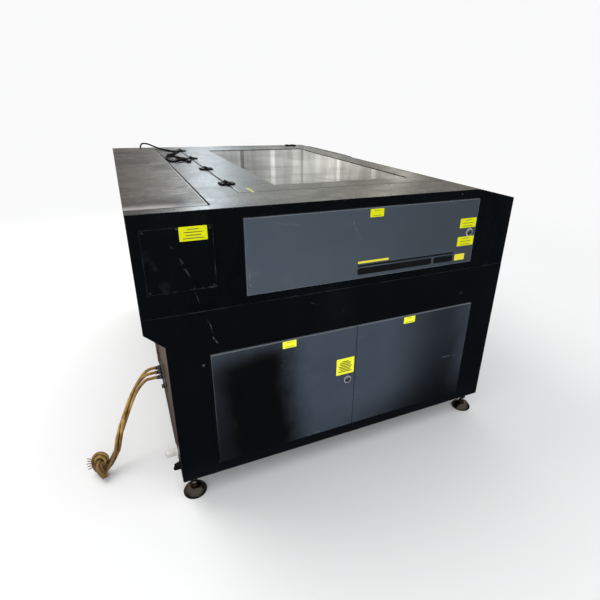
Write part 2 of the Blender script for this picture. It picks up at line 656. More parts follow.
def curve_points(control, per):
    """A Catmull-Rom line through the control points, with `per` steps between each two."""
    points = [Vector(p) for p in control]
    padded = [points[0] * 2 - points[1]] + points + [points[-1] * 2 - points[-2]]
    out = []
    for i in range(1, len(padded) - 2):
        a, b, c, d = padded[i - 1 : i + 3]
        for k in range(per):
            t = k / per
            out.append(
                0.5
                * (
                    2 * b
                    + (c - a) * t
                    + (2 * a - 5 * b + 4 * c - d) * t * t
                    + (3 * b - a - 3 * c + d) * t * t * t
                )
            )
    out.append(points[-1].copy())
    return out


def frames_along(points):
    """Tangent, side and up at each point, carried along without sudden turns."""
    out = []
    side = None
    last = len(points) - 1
    for i in range(len(points)):
        tangent = (points[min(i + 1, last)] - points[max(i - 1, 0)]).normalized()
        if side is None:
            guess = Vector((0, 0, 1)) if abs(tangent.z) < 0.9 else Vector((1, 0, 0))
            side = tangent.cross(guess).normalized()
        else:
            side = (side - tangent * side.dot(tangent)).normalized()
        out.append((tangent, side, tangent.cross(side).normalized()))
    return out


def band(mesh, lower, upper):
    """A closed band of quads between two rows of as many vertices."""
    for k in range(len(lower)):
        j = (k + 1) % len(lower)
        mesh.faces.new((lower[k], lower[j], upper[j], upper[k]))


class Piece:
    """Collects closed forms, each with its own finish, into one object that rides on a body.

    The finishes given at the start take the first material slots, in that order."""

    def __init__(self, name, body, slot, *finishes):
        self.name, self.body, self.slot = name, body, slot
        self.mesh = bmesh.new()
        self.materials = []
        for finish in finishes:
            self.use(finish)
        self.use(finishes[0])

    def use(self, finish):
        material = FINISHES[finish]
        if material not in self.materials:
            self.materials.append(material)
        self.material_index = self.materials.index(material)
        return self

    def add(self, form):
        bmesh.ops.recalc_face_normals(form, faces=form.faces)
        for face in form.faces:
            face.material_index = self.material_index
        mesh = bpy.data.meshes.new("part")
        form.to_mesh(mesh)
        form.free()
        self.mesh.from_mesh(mesh)
        bpy.data.meshes.remove(mesh)
        return self

    def add_turned(self, form, at, axis):
        matrix = Matrix.Translation(place(*at)) @ turn_to(axis)
        bmesh.ops.transform(form, matrix=matrix, verts=form.verts)
        return self.add(form)

    def box(self, x, y, z, radius=0.0, seg=2, turn=None):
        """A block with rounded edges between pairs of x, y and z, turned about Z by an angle."""
        centre = (sum(x) / 2, sum(y) / 2, sum(z) / 2)
        sizes = (abs(x[1] - x[0]), abs(y[1] - y[0]), abs(z[1] - z[0]))
        form = bmesh.new()
        bmesh.ops.create_cube(form, size=1.0)
        bmesh.ops.scale(form, vec=sizes, verts=form.verts)
        if radius:
            offset = min(radius, min(sizes) * 0.49)
            bmesh.ops.bevel(
                form, geom=form.edges[:], offset=offset, segments=seg, profile=0.5, affect="EDGES"
            )
        if turn:
            matrix = Matrix.Rotation(turn, 3, "Z")
            bmesh.ops.rotate(form, cent=(0, 0, 0), matrix=matrix, verts=form.verts)
        bmesh.ops.translate(form, vec=place(*centre), verts=form.verts)
        return self.add(form)

    def lathe(self, profile, at, axis="Z", seg=24, hexagons=()):
        """(radius, height) points swung about an axis; the radii in hexagons give six flats."""
        form = bmesh.new()
        rings = []
        for radius, height in profile:
            if radius < 1e-7:
                rings.append([form.verts.new((0, 0, height))])
                continue
            row = []
            for k in range(seg):
                angle = math.tau * k / seg
                reach = radius
                if radius in hexagons:
                    step = math.tau / 6
                    reach = radius * math.cos(step / 2) / math.cos((angle % step) - step / 2)
                row.append(
                    form.verts.new((reach * math.cos(angle), reach * math.sin(angle), height))
                )
            rings.append(row)
        for lower, upper in zip(rings, rings[1:]):
            if len(lower) == len(upper):
                band(form, lower, upper)
                continue
            for k in range(seg):
                j = (k + 1) % seg
                if len(lower) == 1:
                    form.faces.new((lower[0], upper[k], upper[j]))
                else:
                    form.faces.new((lower[k], lower[j], upper[0]))
        for row in (rings[0], rings[-1]):
            if len(row) > 1:
                form.faces.new(row)
        return self.add_turned(form, at, axis)

    def disc(self, radius, low, high, at, axis, seg):
        return self.lathe([(0, low), (radius, low), (radius, high), (0, high)], at, axis, seg)

    def ring(self, profile, at, axis="Z", seg=24):
        """A closed outline of (radius, height) points swung about an axis, so it has a hole."""
        form = bmesh.new()
        rings = [
            [
                form.verts.new((r * math.cos(angle), r * math.sin(angle), height))
                for angle in (math.tau * k / seg for k in range(seg))
            ]
            for r, height in profile
        ]
        for lower, upper in zip(rings, rings[1:] + rings[:1]):
            band(form, lower, upper)
        return self.add_turned(form, at, axis)

    def collar(self, inner, outer, low, high, at, axis, seg):
        return self.ring([(inner, low), (outer, low), (outer, high), (inner, high)], at, axis, seg)

    def nut(self, at, axis, across_flats, height, bore=0.0):
        """A hexagon nut with chamfered corners."""
        r = across_flats / math.sqrt(3)
        outline = [(r * 0.90, 0), (r, height * 0.14), (r, height * 0.86), (r * 0.90, height)]
        if bore:
            return self.ring(outline + [(bore, height), (bore, 0)], at, axis, 6)
        return self.lathe([(0, 0)] + outline + [(0, height)], at, axis, 6)

    def screw(self, at, axis, r, height):
        """A button head with a hexagon socket."""
        socket = 0.46 * r
        floor = socket * 0.999
        head = (
            (r * 0.96, 0), (r, height * 0.18), (r * 0.93, height * 0.55),
            (r * 0.78, height * 0.86), (r * 0.60, height),
            (socket, height), (floor, height * 0.40), (0, height * 0.36),
        )
        return self.lathe(head, at, axis, 24, (socket, floor))

    def tube(self, points, radius, sides=12, bore=0.0):
        """A round rod along the points, with blind holes in its ends if it has a bore."""
        points = [place(*p) for p in points]
        frames = frames_along(points)
        form = bmesh.new()
        rows = []
        for point, (_, side, up) in zip(points, frames):
            angles = [math.tau * k / sides for k in range(sides)]
            rows.append(
                [
                    form.verts.new(point + (side * math.cos(a) + up * math.sin(a)) * radius)
                    for a in angles
                ]
            )
        for one, other in zip(rows, rows[1:]):
            band(form, one, other)
        ends = ((rows[0], points[0], frames[0][0]), (rows[-1], points[-1], -frames[-1][0]))
        for row, tip, inward in ends:
            if bore:
                rim = [form.verts.new(tip + (v.co - tip) * (bore / radius)) for v in row]
                deep = [form.verts.new(v.co + inward * radius * 1.4) for v in rim]
                for k in range(sides):
                    j = (k + 1) % sides
                    form.faces.new((row[k], row[j], rim[j], rim[k]))
                    form.faces.new((rim[k], rim[j], deep[j], deep[k]))
                form.faces.new(deep)
            else:
                form.faces.new(row)
        return self.add(form)

    def sheet(self, outline, origin, right, up, thick, lift=0.0):
        """A flat plate from an outline along right and up, thickened towards right x up."""
        right, up = Vector(right), Vector(up)
        out = right.cross(up).normalized()
        form = bmesh.new()
        back = [form.verts.new(place(*origin) + right * u + up * v + out * lift) for u, v in outline]
        face = [form.verts.new(v.co + out * thick) for v in back]
        form.faces.new(back)
        form.faces.new(face)
        band(form, back, face)
        return self.add(form)

    def done(self, *replaces):
        """Make the object; the frame parts named here are replaced by it."""
        mesh = bpy.data.meshes.new(self.name)
        self.mesh.to_mesh(mesh)
        self.mesh.free()
        for material in self.materials:
            mesh.materials.append(material)
        mesh.shade_smooth()
        mesh.set_sharp_from_angle(angle=math.radians(32))
        piece = bpy.data.objects.new(self.name, mesh)
        bpy.context.scene.collection.objects.link(piece)
        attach(piece, self.body)
        if replaces:
            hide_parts(*replaces)


def rounded(width, height, radius, seg=4):
    """A rounded rectangle outline with its lower left corner at 0, 0."""
    right, top = width - radius, height - radius
    out = []
    for x, y, start in ((right, radius, -90), (right, top, 0), (radius, top, 90),
                        (radius, radius, 180)):
        for k in range(seg + 1):
            angle = math.radians(start + 90 * k / seg)
            out.append((x + radius * math.cos(angle), y + radius * math.sin(angle)))
    return out


# ================================================================ finishes on the frame's parts
HINGE_LEAVES = " ".join(f"lid_hinge_{i}_{leaf}_leaf" for i in range(1, 5) for leaf in ("deck", "lid"))
# finish: frame parts. The others are black plastic.
PARTS_BY_FINISH = {
    "body": "upper_cabinet left_tube_access_panel right_tube_access_panel",
    "base": "base_cabinet rear_service_panel",
    "cover": "tube_cover",
    "deck": "lid_frame",
    "inside": "tube_bay_tray",
    "slate": "right_service_panel front_panel right_pass_door",
    "slate_high": "left_pass_door",
    "slate_low": "left_base_door_rear left_base_door_front",
    "zinc": "exhaust_collar hose_manifold electronics_plate",
    "white": "power_inlet",
    "window": "lid_window",
    "alu_y": "tube_cradle gantry_beam",
    "alu": "left_rail right_rail laser_power_supply head_carriage laser_head",
    "steel": "bed_frame left_lift_screw right_lift_screw",
    "bed": "bed_grid",
    "red": "estop_button",
    "chrome": "key_switch left_strut_rod right_strut_rod",
    "nickel": "left_pass_lock right_pass_lock left_base_lock",
    "glass": "laser_tube",
    "rubber": "deck_cable",
    "hinge": HINGE_LEAVES,
}
# width of the rounded folds: frame parts
PARTS_BY_FOLD = {
    0.0016: "upper_cabinet base_cabinet left_pass_door right_pass_door "
    "left_base_door_rear left_base_door_front",
    0.0018: "tube_cover",
    0.0012: "lid_frame gantry_beam bed_frame power_inlet",
    0.0008: "right_service_panel",
    0.0010: "front_panel control_panel head_carriage",
    0.0006: "rear_service_panel left_tube_access_panel right_tube_access_panel lid_window",
    0.0015: "laser_power_supply",
    0.0020: "motion_controller",
    0.0007: HINGE_LEAVES,
}


def by_part(groups):
    return {part: value for value, parts in groups.items() for part in parts.split()}


def finish_frame_parts():
    finishes, folds = by_part(PARTS_BY_FINISH), by_part(PARTS_BY_FOLD)
    for name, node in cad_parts.items():
        node.data.materials.clear()
        node.data.materials.append(FINISHES[finishes.get(name, "black")])
        weld = node.modifiers.new("Weld", "WELD")
        weld.merge_threshold = 0.00001
        if name not in folds:
            continue
        # the lid stays in triangles: its one flat face goes round the window
        if name != "lid_frame":
            flat = node.modifiers.new("Flats", "DECIMATE")
            flat.decimate_type = "DISSOLVE"
            flat.angle_limit = math.radians(0.6)
        fold = node.modifiers.new("Fold", "BEVEL")
        fold.width = folds[name]
        fold.segments = 2
        fold.limit_method = "ANGLE"
        fold.angle_limit = math.radians(35)
        fold.use_clamp_overlap = True
        normals = node.modifiers.new("Normals", "WEIGHTED_NORMAL")
        normals.keep_sharp = False


# ================================================================ labels and stripe
# Right and up on a face, for someone looking at it
LEFT_FACE = ((1, 0, 0), (0, 0, 1))
RIGHT_FACE = ((-1, 0, 0), (0, 0, 1))
LID_FACE = ((-0.028, 0.9996, 0), (-0.9996, -0.028, 0))
PRINT_LIFT = 0.0001
VINYL = 0.00028
# object name after "label_", body, lower left corner, face, width, height, bars, finish
LABELS = (
    ("rear_corner", "cabinet", (0.1385, -0.0018, 1.0126), LEFT_FACE, 0.082, 0.044, 4, "yellow"),
    ("pass_door_top", "left_pass_door", (0.7805, -0.006, 1.033), LEFT_FACE,
     0.055, 0.029, 2, "yellow"),
    ("pass_door_upper", "left_pass_door", (1.191, -0.006, 0.955), LEFT_FACE,
     0.079, 0.038, 3, "yellow"),
    ("pass_door_lower", "left_pass_door", (1.189, -0.006, 0.881), LEFT_FACE,
     0.081, 0.038, 3, "yellow"),
    ("base_door_rear_top", "left_base_door_rear", (0.452, -0.006, 0.578), LEFT_FACE,
     0.053, 0.0285, 2, "yellow_low"),
    ("base_door_front_top", "left_base_door_front", (0.973, -0.006, 0.576), LEFT_FACE,
     0.054, 0.029, 2, "yellow_low"),
    ("base_door_lock", "left_base_door_rear", (0.6735, -0.006, 0.4035), LEFT_FACE,
     0.078, 0.0735, 7, "yellow_low"),
    ("lid_corner", "lid", (0.4342, 0.208, TOP + 0.0001), LID_FACE,
     0.082, 0.011, 1, "yellow_faded"),
    ("right_door", "right_pass_door", (0.8, LENGTH + 0.006, 1.033), RIGHT_FACE,
     0.055, 0.029, 2, "yellow"),
    ("right_corner", "cabinet", (0.2205, LENGTH + 0.0018, 1.006), RIGHT_FACE,
     0.082, 0.044, 4, "yellow"),
)


def label(name, body, origin, face, width, height, bars, finish):
    """A vinyl label whose print is a few plain bars."""
    part = Piece("label_" + name, body, "grey_plastic", finish)
    part.sheet(rounded(width, height, 0.0022), origin, *face, VINYL, PRINT_LIFT)
    part.use("bars")
    right, up = map(Vector, face)
    for k in range(bars):
        middle = height * (0.80 - 0.62 * k / (bars - 1)) if bars > 1 else height * 0.5
        inset = 0.12 + 0.05 * ((k * 7) % 3) if k else 0.30
        corner = Vector(origin) + right * (width * inset) + up * (middle - height * 0.028)
        bar = rounded(width * (1 - 2 * inset), height * 0.055, height * 0.02, 2)
        part.sheet(bar, corner, *face, 0.00010, PRINT_LIFT + VINYL)
    part.done()


def door_stripe():
    """A plain two-tone stripe on the left pass door."""
    part = Piece("door_stripe", "left_pass_door", "black_plastic", "ink")

    def bar(x, z, width, height, radius):
        outline = rounded(width, height, radius)
        part.sheet(outline, (x, -0.006, z), *LEFT_FACE, 0.00022, PRINT_LIFT)

    for x, z, width, height in (
        (0.742, 0.822, 0.330, 0.026), (1.082, 0.822, 0.094, 0.026), (0.742, 0.853, 0.434, 0.007)
    ):
        bar(x, z, width, height, height * 0.3)
    part.use("yellow_line")
    bar(0.742, 0.866, 0.130, 0.008, 0.002)
    bar(1.186, 0.822, 0.050, 0.026, 0.003)
    part.done()


# ================================================================ fasteners and locks
def cabinet_screws():
    part = Piece("cabinet_screws", "cabinet", "zinc", "black")
    for z in (0.863, 1.048):
        for x in (0.038, 0.229):
            part.screw((x, -0.0018, z), "-Y", 0.0036, 0.0014)
            part.screw((x, LENGTH + 0.0018, z), "Y", 0.0036, 0.0014)
    rear = [(y, z) for y in (0.612, 0.950, 1.288) for z in (0.182, 0.568)]
    rear += [(y, z) for z in (0.300, 0.450) for y in (0.612, 1.288)]
    for y, z in rear:
        part.screw((0.0567, y, z), "-X", 0.0045, 0.0020)
    for y in (0.250, 0.580, 0.920, 1.260, 1.590):
        for z in (0.164, 0.586):
            part.screw((DEPTH + 0.0033, y, z), "X", 0.0045, 0.0020)
    for x in (0.214, 0.480, 0.759, 1.038, 1.304):
        for z in (0.158, 0.593):
            part.screw((x, LENGTH + 0.0033, z), "Y", 0.0045, 0.0020)
    part.done()


def end_face_studs():
    part = Piece("end_face_studs", "cabinet", "zinc", "steel")
    part.screw((0.172, 0, 0.574), "-Y", 0.0055, 0.0022)
    part.screw((0.172, LENGTH, 0.574), "Y", 0.0055, 0.0022)
    part.screw((0.1322, -0.0018, 1.0515), "-Y", 0.0030, 0.0014)
    part.screw((1.186, 0, 1.088), "-Y", 0.0026, 0.0012)
    part.done()


def cam_lock(lock, door, y, sign, x, z):
    """The keyway face of a lock and the bezel round it; sign is its end of the cabinet."""
    axis = OUTWARD[sign]
    face = y + sign * 0.0105
    part = Piece(lock + "_face", lock, "chrome", "nickel")
    rim = [(0.0112, -0.0012), (0.0112, 0.0002), (0.01, 0.0012), (0.0082, 0.0012), (0.0078, 0.0001)]
    part.ring(rim, (x, face, z), axis, 32)
    part.use("black").disc(0.0080, -0.0004, 0.0002, (x, face, z), axis, 28)
    plug = [(0, 0), (0.0050, 0), (0.0050, 0.0010), (0.0044, 0.0014), (0, 0.0014)]
    part.use("chrome").lathe(plug, (x, face, z), axis, 24)
    keyway = (face + sign * 0.0012, face + sign * 0.0016)
    part.use("bore").box((x - 0.0034, x + 0.0034), keyway, (z - 0.0007, z + 0.0007))
    part.done()
    part = Piece(lock + "_bezel", door, "chrome", "rim")
    outline = [
        (0.0115, 0.0001), (0.0165, 0.0001), (0.0168, 0.0012), (0.0158, 0.0026),
        (0.0136, 0.0032), (0.0118, 0.0028), (0.0115, 0.0020),
    ]
    part.ring(outline, (x, y + sign * 0.0060, z), axis, 40)
    part.done()


def cam_locks():
    cam_lock("left_pass_lock", "left_pass_door", 0.0, -1, 1.242, 0.935)
    cam_lock("right_pass_lock", "right_pass_door", LENGTH, 1, 1.242, 0.935)
    cam_lock("left_base_lock", "left_base_door_rear", 0.0, -1, 0.725, 0.375)


# ================================================================ levelling feet
def foot(name, x, y):
    """A domed pad with a threaded stem, two nuts and a washer."""
    part = Piece(name + "_pad", name, "zinc", "foot")
    at = (x, y, 0)
    dish = [
        (0, 0.0008), (0.0405, 0.0008), (0.0425, 0), (0.0436, 0.0008), (0.0440, 0.0030),
        (0.0436, 0.0048),
    ]
    for k in range(1, 11):
        rise = math.sin(math.radians(90 * k / 10)) ** 0.92
        dish.append((0.0436 - 0.0296 * (k / 10), 0.0048 + 0.0262 * rise))
    dish += [(0.0128, 0.0345), (0.0118, 0.0360), (0.0090, 0.0364), (0, 0.0364)]
    part.lathe(dish, at, "Z", 64)
    stem = [(0, 0.0350)]
    pitch = 0.0020
    for k in range(38):
        z = 0.0352 + pitch * k
        stem += [(0.0070, z), (0.0080, z + pitch / 2)]
    stem += [(0.0070, 0.1115), (0, 0.1118)]
    part.use("steel").lathe(stem, at, "Z", 24)
    part.use("foot").nut((x, y, 0.0530), "Z", 0.0240, 0.0130)
    part.nut((x, y, 0.0365), "Z", 0.0180, 0.0070)
    part.use("zinc").collar(0.0085, 0.0150, 0.0680, 0.0700, at, "Z", 32)
    part.done(name)


def feet():
    for side, y in (("left", 0.038), ("right", LENGTH - 0.038)):
        for end, x in (("rear", 0.100), ("front", 1.415)):
            foot(f"foot_{end}_{side}", x, y)


# ================================================================ lid hinges
def lid_hinges():
    """A screwed plate on each leaf, and the pin ends."""
    pin_x = 0.376
    for i, y in enumerate((0.393, 0.794, 1.195, 1.585), 1):
        for leaf, body, x in (("deck", "cabinet", pin_x - 0.018), ("lid", "lid", pin_x + 0.018)):
            part = Piece(f"lid_hinge_{i}_{leaf}_screws", body, "zinc", "steel")
            for shift in (-0.015, 0.015):
                part.screw((x, y + shift, TOP + 0.0053), "Z", 0.0042, 0.0020)
            plate_z = (TOP + 0.0050, TOP + 0.0060)
            part.use("hinge")
            part.box((x - 0.007, x + 0.007), (y - 0.0225, y + 0.0225), plate_z, 0.0006)
            part.done()
        pin = Piece(f"lid_hinge_{i}_pin", "lid", "chrome", "steel")
        tip = [(0, 0), (0.0030, 0), (0.0030, 0.0008), (0.0022, 0.0014), (0, 0.0016)]
        for end in (-1, 1):
            pin.lathe(tip, (pin_x, y + end * 0.0240, 1.1085), OUTWARD[end], 16)
        pin.done()


# ================================================================ hoses and their knot
PORT_Y = (0.361, 0.399, 0.435)
PORT_Z = 0.334
PORT_X = 0.055
# centre line of the bundle from the ports down to the knot: x, y, z
BUNDLE = (
    (0.0400, 0.399, 0.334), (0.0100, 0.398, 0.335), (-0.0200, 0.394, 0.327),
    (-0.0620, 0.372, 0.288), (-0.1000, 0.350, 0.224), (-0.1235, 0.335, 0.174),
    (-0.1405, 0.322, 0.133), (-0.1541, 0.310, 0.100), (-0.1655, 0.298, 0.068),
)
KNOT = Vector((-0.2284, 0.2670, 0.0440))
KNOT_RIGHT = Vector((0.9102, -0.4137, 0.0215))
KNOT_UP = Vector((0.1458, 0.3688, 0.9180))
KNOT_OUT = Vector((0.1094, -0.7483, 0.6544))
# places round the knot in millimetres: right, up, out of its open side
KNOT_TURNS = (
    (50, 26, -33), (31, -5, -15), (12, -24, -16), (-12, -14, -20), (-23, 10, -8),
    (-19, 32, 8), (0, 42, 15), (19, 31, 2), (15, 9, -20), (3, 17, 2),
    (-9, -4, 21), (2, -29, 25), (24, -49, 20),
)
KNOT_TUCK = (
    (-24, -6, -24), (-15, 16, -17), (-6, 27, -13), (7, 21, -16), (13, 3, -15),
    (8, -16, -16), (-4, -26, -20),
)
# string ends in the same millimetres: near right, near up, far right, far up, out
STRING_ENDS = (
    (-30, 20, -54, 25, 4), (-31, 12, -52, 15, 8), (-30, 4, -55, 4, 6), (-28, -3, -51, -6, 10),
    (-26, -9, -48, -17, 8),
)


def by_knot(right, up, out):
    return KNOT + (KNOT_RIGHT * right + KNOT_UP * up + KNOT_OUT * out) * 0.001


def above_floor(points, low):
    return [Vector((p.x, p.y, max(p.z, low))) for p in points]


def hose_strands():
    """The three strands: apart at the ports, gathered and twisted on the way to the knot."""
    line = curve_points(BUNDLE, 10)
    course = line[:-1] + curve_points([line[-1]] + [by_knot(*p) for p in KNOT_TURNS], 9)
    strands = ([], [], [])
    run = 0.0
    for k, (centre, (tangent, _, _)) in enumerate(zip(course, frames_along(course))):
        if k:
            run += (course[k] - course[k - 1]).length
        if k < len(line):
            share = k / (len(line) - 1)
            gather = min(1.0, max(0.0, (share - 0.10) / 0.42))
            gather = gather * gather * (3 - 2 * gather)
            across = tangent.cross(Vector((0, 0, 1))).normalized()
            twist = line_twist = math.radians(250) * max(0.0, share - 0.45)
            line_run = run
            spread = 0.0081
        else:
            # carry the last frame on along the knot
            gather = 1.0
            across = (across - tangent * across.dot(tangent)).normalized()
            twist = line_twist + (run - line_run) * math.radians(55) / 0.10
            spread = 0.0070
        up = across.cross(tangent).normalized()
        for strand, port_y, start in zip(strands, PORT_Y, (210, 90, -30)):
            angle = math.radians(start) + twist
            together = (across * math.cos(angle) + up * math.sin(angle)) * spread
            apart = Vector((0, port_y - PORT_Y[1], 0))
            strand.append(centre + apart.lerp(together, gather))
    return strands


def hoses():
    names = ("water_supply_hose", "water_return_hose", "air_assist_hose")
    for name, strand, short in zip(names, hose_strands(), (0, 3, 1)):
        points = above_floor(strand[: len(strand) - short], 0.0066)
        part = Piece(name + "_wall", "cabinet", "hose", "hose")
        part.tube(points, 0.0063, 18, bore=0.0040)
        replaced = [name]
        if name == names[0]:
            # one more tuck of the same hose through the middle of the knot
            tuck = curve_points([by_knot(*p) for p in KNOT_TUCK], 7)
            part.tube(above_floor(tuck, 0.0066), 0.0062, 18)
            replaced.append("hose_knot")
        end = points[-1]
        outward = (end - points[-2]).normalized()
        part.use("bore").tube([end - outward * 0.0090, end - outward * 0.0078], 0.0039, 14)
        part.done(*replaced)


def knot_string_ends():
    part = Piece("knot_string_ends", "cabinet", "grey_plastic", "string")
    for right, up, far_right, far_up, out in STRING_ENDS:
        points = [
            by_knot(right + 14, up - 2, out - 6),
            by_knot(right, up, out),
            by_knot((right + far_right) / 2, (up + far_up) / 2 + 2, out + 4),
            by_knot(far_right, far_up, out + 2),
        ]
        part.tube(above_floor(curve_points(points, 5), 0.0015), 0.0018, 8)
    part.done()


def hose_fittings():
    """One open port, three ports with hoses, and the manifold's screws."""
    part = Piece("hose_fittings", "cabinet", "zinc", "zinc")

    def washer(y):
        at = (PORT_X, y, PORT_Z)
        part.use("steel").collar(0.0060, 0.0150, 0, 0.0022, at, "-X", 28)

    open_y = 0.290
    nut_at = (PORT_X - 0.0020, open_y, PORT_Z)
    washer(open_y)
    part.use("black").nut(nut_at, "-X", 0.0190, 0.0050, 0.0070)
    spout = [(0.0045, 0), (0.0068, 0), (0.0068, 0.0095), (0.0060, 0.0105), (0.0045, 0.0105)]
    part.use("steel").ring(spout, nut_at, "-X", 24)
    part.use("bore").disc(0.0046, 0, 0.0060, nut_at, "-X", 16)
    sleeve = [(0.0062, 0), (0.0096, 0), (0.0098, 0.0060), (0.0090, 0.0068), (0.0062, 0.0068)]
    for y in PORT_Y:
        washer(y)
        part.use("black").nut((PORT_X - 0.0020, y, PORT_Z), "-X", 0.0190, 0.0075)
        part.use("steel").ring(sleeve, (PORT_X - 0.0095, y, PORT_Z), "-X", 24)
        part.use("black").nut((PORT_X - 0.0160, y, PORT_Z), "-X", 0.0165, 0.0060)
        end_at = (PORT_X - 0.0240, y, PORT_Z)
        part.use("steel").collar(0.0066, 0.0080, 0, 0.0040, end_at, "-X", 24)
    for y in (0.276, 0.449):
        for z in (0.320, 0.348):
            part.screw((0.0547, y, z), "-X", 0.0030, 0.0016)
    part.done()


# ================================================================ loose black lead on the deck
REST_Z = TOP + 0.0046
# x, y, z along each run of the lead
LEAD_OVER_END = (
    (0.160, LENGTH + 0.0062, 1.045), (0.162, LENGTH + 0.0062, 1.085),
    (0.166, LENGTH + 0.0050, 1.110), (0.176, LENGTH - 0.0120, 1.127),
    (0.206, LENGTH - 0.0450, 1.128), (0.240, LENGTH - 0.0900, 1.116),
    (0.272, 1.690, REST_Z), (0.300, 1.600, REST_Z), (0.330, 1.545, REST_Z),
    (0.346, 1.530, REST_Z),
)
LEAD_LOOP = (
    (0.338, 1.470, REST_Z), (0.318, 1.400, REST_Z), (0.280, 1.330, REST_Z),
    (0.256, 1.270, REST_Z), (0.250, 1.200, REST_Z), (0.256, 1.110, REST_Z),
    (0.276, 1.070, REST_Z), (0.304, 1.082, REST_Z + 0.004), (0.330, 1.130, REST_Z + 0.007),
    (0.338, 1.180, REST_Z + 0.002), (0.318, 1.215, REST_Z), (0.296, 1.190, REST_Z + 0.005),
    (0.300, 1.130, REST_Z + 0.006), (0.330, 1.085, REST_Z), (0.344, 1.050, REST_Z),
)
LEAD_THIN = (
    (0.346, 1.520, REST_Z), (0.334, 1.470, REST_Z + 0.006), (0.300, 1.395, REST_Z + 0.001),
    (0.270, 1.330, REST_Z + 0.006), (0.276, 1.250, REST_Z + 0.002),
    (0.302, 1.200, REST_Z + 0.008), (0.330, 1.150, REST_Z + 0.002),
)


def deck_lead():
    part = Piece("deck_lead", "cabinet", "rubber", "rubber", "black", "white")
    over_end, loop, thin = (curve_points(c, 8) for c in (LEAD_OVER_END, LEAD_LOOP, LEAD_THIN))
    for path, radius in ((over_end, 0.0046), (loop, 0.0044), (thin, 0.0040)):
        points = []
        for p in path:
            y = min(p.y, LENGTH + 0.0064)
            z = max(p.z, TOP + radius + 0.0004) if y < LENGTH - 0.002 else p.z
            points.append((p.x, y, z))
        part.tube(points, radius, 12)
    part.use("black")
    for x, y, turn in ((0.349, 1.527, 0.3), (0.344, 1.062, -0.5), (0.335, 1.141, 0.9)):
        block_z = (TOP + 0.0004, TOP + 0.0120)
        part.box((x - 0.0075, x + 0.0075), (y - 0.017, y + 0.017), block_z, 0.0025, turn=turn)
    # narrow bands round the lead
    for path, i in ((over_end, 50), (loop, 40), (loop, 76), (thin, 28)):
        along = (path[i + 1] - path[i]).normalized()
        part.collar(0.0044, 0.0056, -0.0016, 0.0016, path[i], along, 18)
    part.done("deck_cable")


# ================================================================ control panel, stop and key
# The panel lies at the right end of the front slope.
SLOPE_ANGLE = math.atan2(0.044, 0.1875)  # fall and run of the slope
SLOPE_START_X = 1.2725
PANEL_X, PANEL_Y = 1.366, 1.560
PANEL_Z = TOP - (PANEL_X - SLOPE_START_X) * math.tan(SLOPE_ANGLE)
DOWNHILL = Vector((math.cos(SLOPE_ANGLE), 0.0, -math.sin(SLOPE_ANGLE)))
ACROSS = Vector((0.0, 1.0, 0.0))
SLOPE_NORMAL = Vector((math.sin(SLOPE_ANGLE), 0.0, math.cos(SLOPE_ANGLE)))
STOP_AT = (DEPTH, 1.620, 0.985)
KEY_Y, KEY_Z = 1.500, 0.985


def on_slope(right, uphill, lift=0.0):
    """A place to the operator's right of the panel's middle (+Y) and up the slope."""
    middle = Vector((PANEL_X, PANEL_Y, PANEL_Z))
    return middle + SLOPE_NORMAL * (0.0033 + lift) - DOWNHILL * uphill + ACROSS * right


def panel_controls():
    part = Piece("panel_controls", "cabinet", "black_plastic", "grey")

    def plate(right, uphill, width, height, radius, thick, lift):
        outline = rounded(width, height, radius)
        part.sheet(outline, on_slope(right, uphill, lift), ACROSS, -DOWNHILL, thick)

    plate(-0.190, -0.066, 0.380, 0.132, 0.006, thick=0.00035, lift=0)
    part.use("black")
    plate(-0.176, -0.052, 0.156, 0.104, 0.004, thick=0.0010, lift=0.0003)
    part.use("display")
    plate(-0.168, -0.044, 0.140, 0.088, 0.002, thick=0.0004, lift=0.0012)
    for i in range(4):
        for j in range(3):
            part.use("red" if (i, j) == (3, 0) else "slate" if j else "black")
            plate(i * 0.040, -0.048 + j * 0.036, 0.030, 0.022, 0.004, thick=0.0011, lift=0.0003)
    lamp = [(0, 0), (0.0030, 0), (0.0026, 0.0008), (0, 0.0010)]
    part.use("lamp").lathe(lamp, on_slope(0.170, 0.040, 0.0003), SLOPE_NORMAL, 16)
    part.use("steel")
    for right in (-0.193, 0.193):
        for uphill in (-0.068, 0.068):
            part.screw(on_slope(right, uphill, -0.0002), SLOPE_NORMAL, 0.0034, 0.0012)
    part.done()


def emergency_stop():
    part = Piece("estop_bezel", "cabinet", "grey_plastic", "yellow")
    bezel = [(0.0125, 0), (0.0290, 0), (0.0300, 0.0010), (0.0290, 0.0028), (0.0125, 0.0030)]
    part.ring(bezel, STOP_AT, "X", 48)
    part.use("steel").collar(0.0115, 0.0160, 0, 0.0036, STOP_AT, "X", 32)
    part.done()
    part = Piece("estop_cap", "estop", "red", "red")
    mushroom = [
        (0, 0.0102), (0.0112, 0.0104), (0.0165, 0.0114), (0.0205, 0.0156), (0.0208, 0.0195),
        (0.0198, 0.0238), (0.0170, 0.0275), (0.0120, 0.0302), (0.0060, 0.0316), (0, 0.0319),
    ]
    part.lathe(mushroom, STOP_AT, "X", 48)
    part.use("black").disc(0.0106, -0.0245, 0.0112, STOP_AT, "X", 28)
    part.use("white")
    x, y, z = STOP_AT
    for k in range(3):
        angles = [math.tau * k / 3 + 0.25 * step for step in range(6)]
        arc = [(x + 0.03, y + 0.0108 * math.cos(a), z + 0.0108 * math.sin(a)) for a in angles]
        part.tube(arc, 0.0008, 6)
    part.done("estop_button")


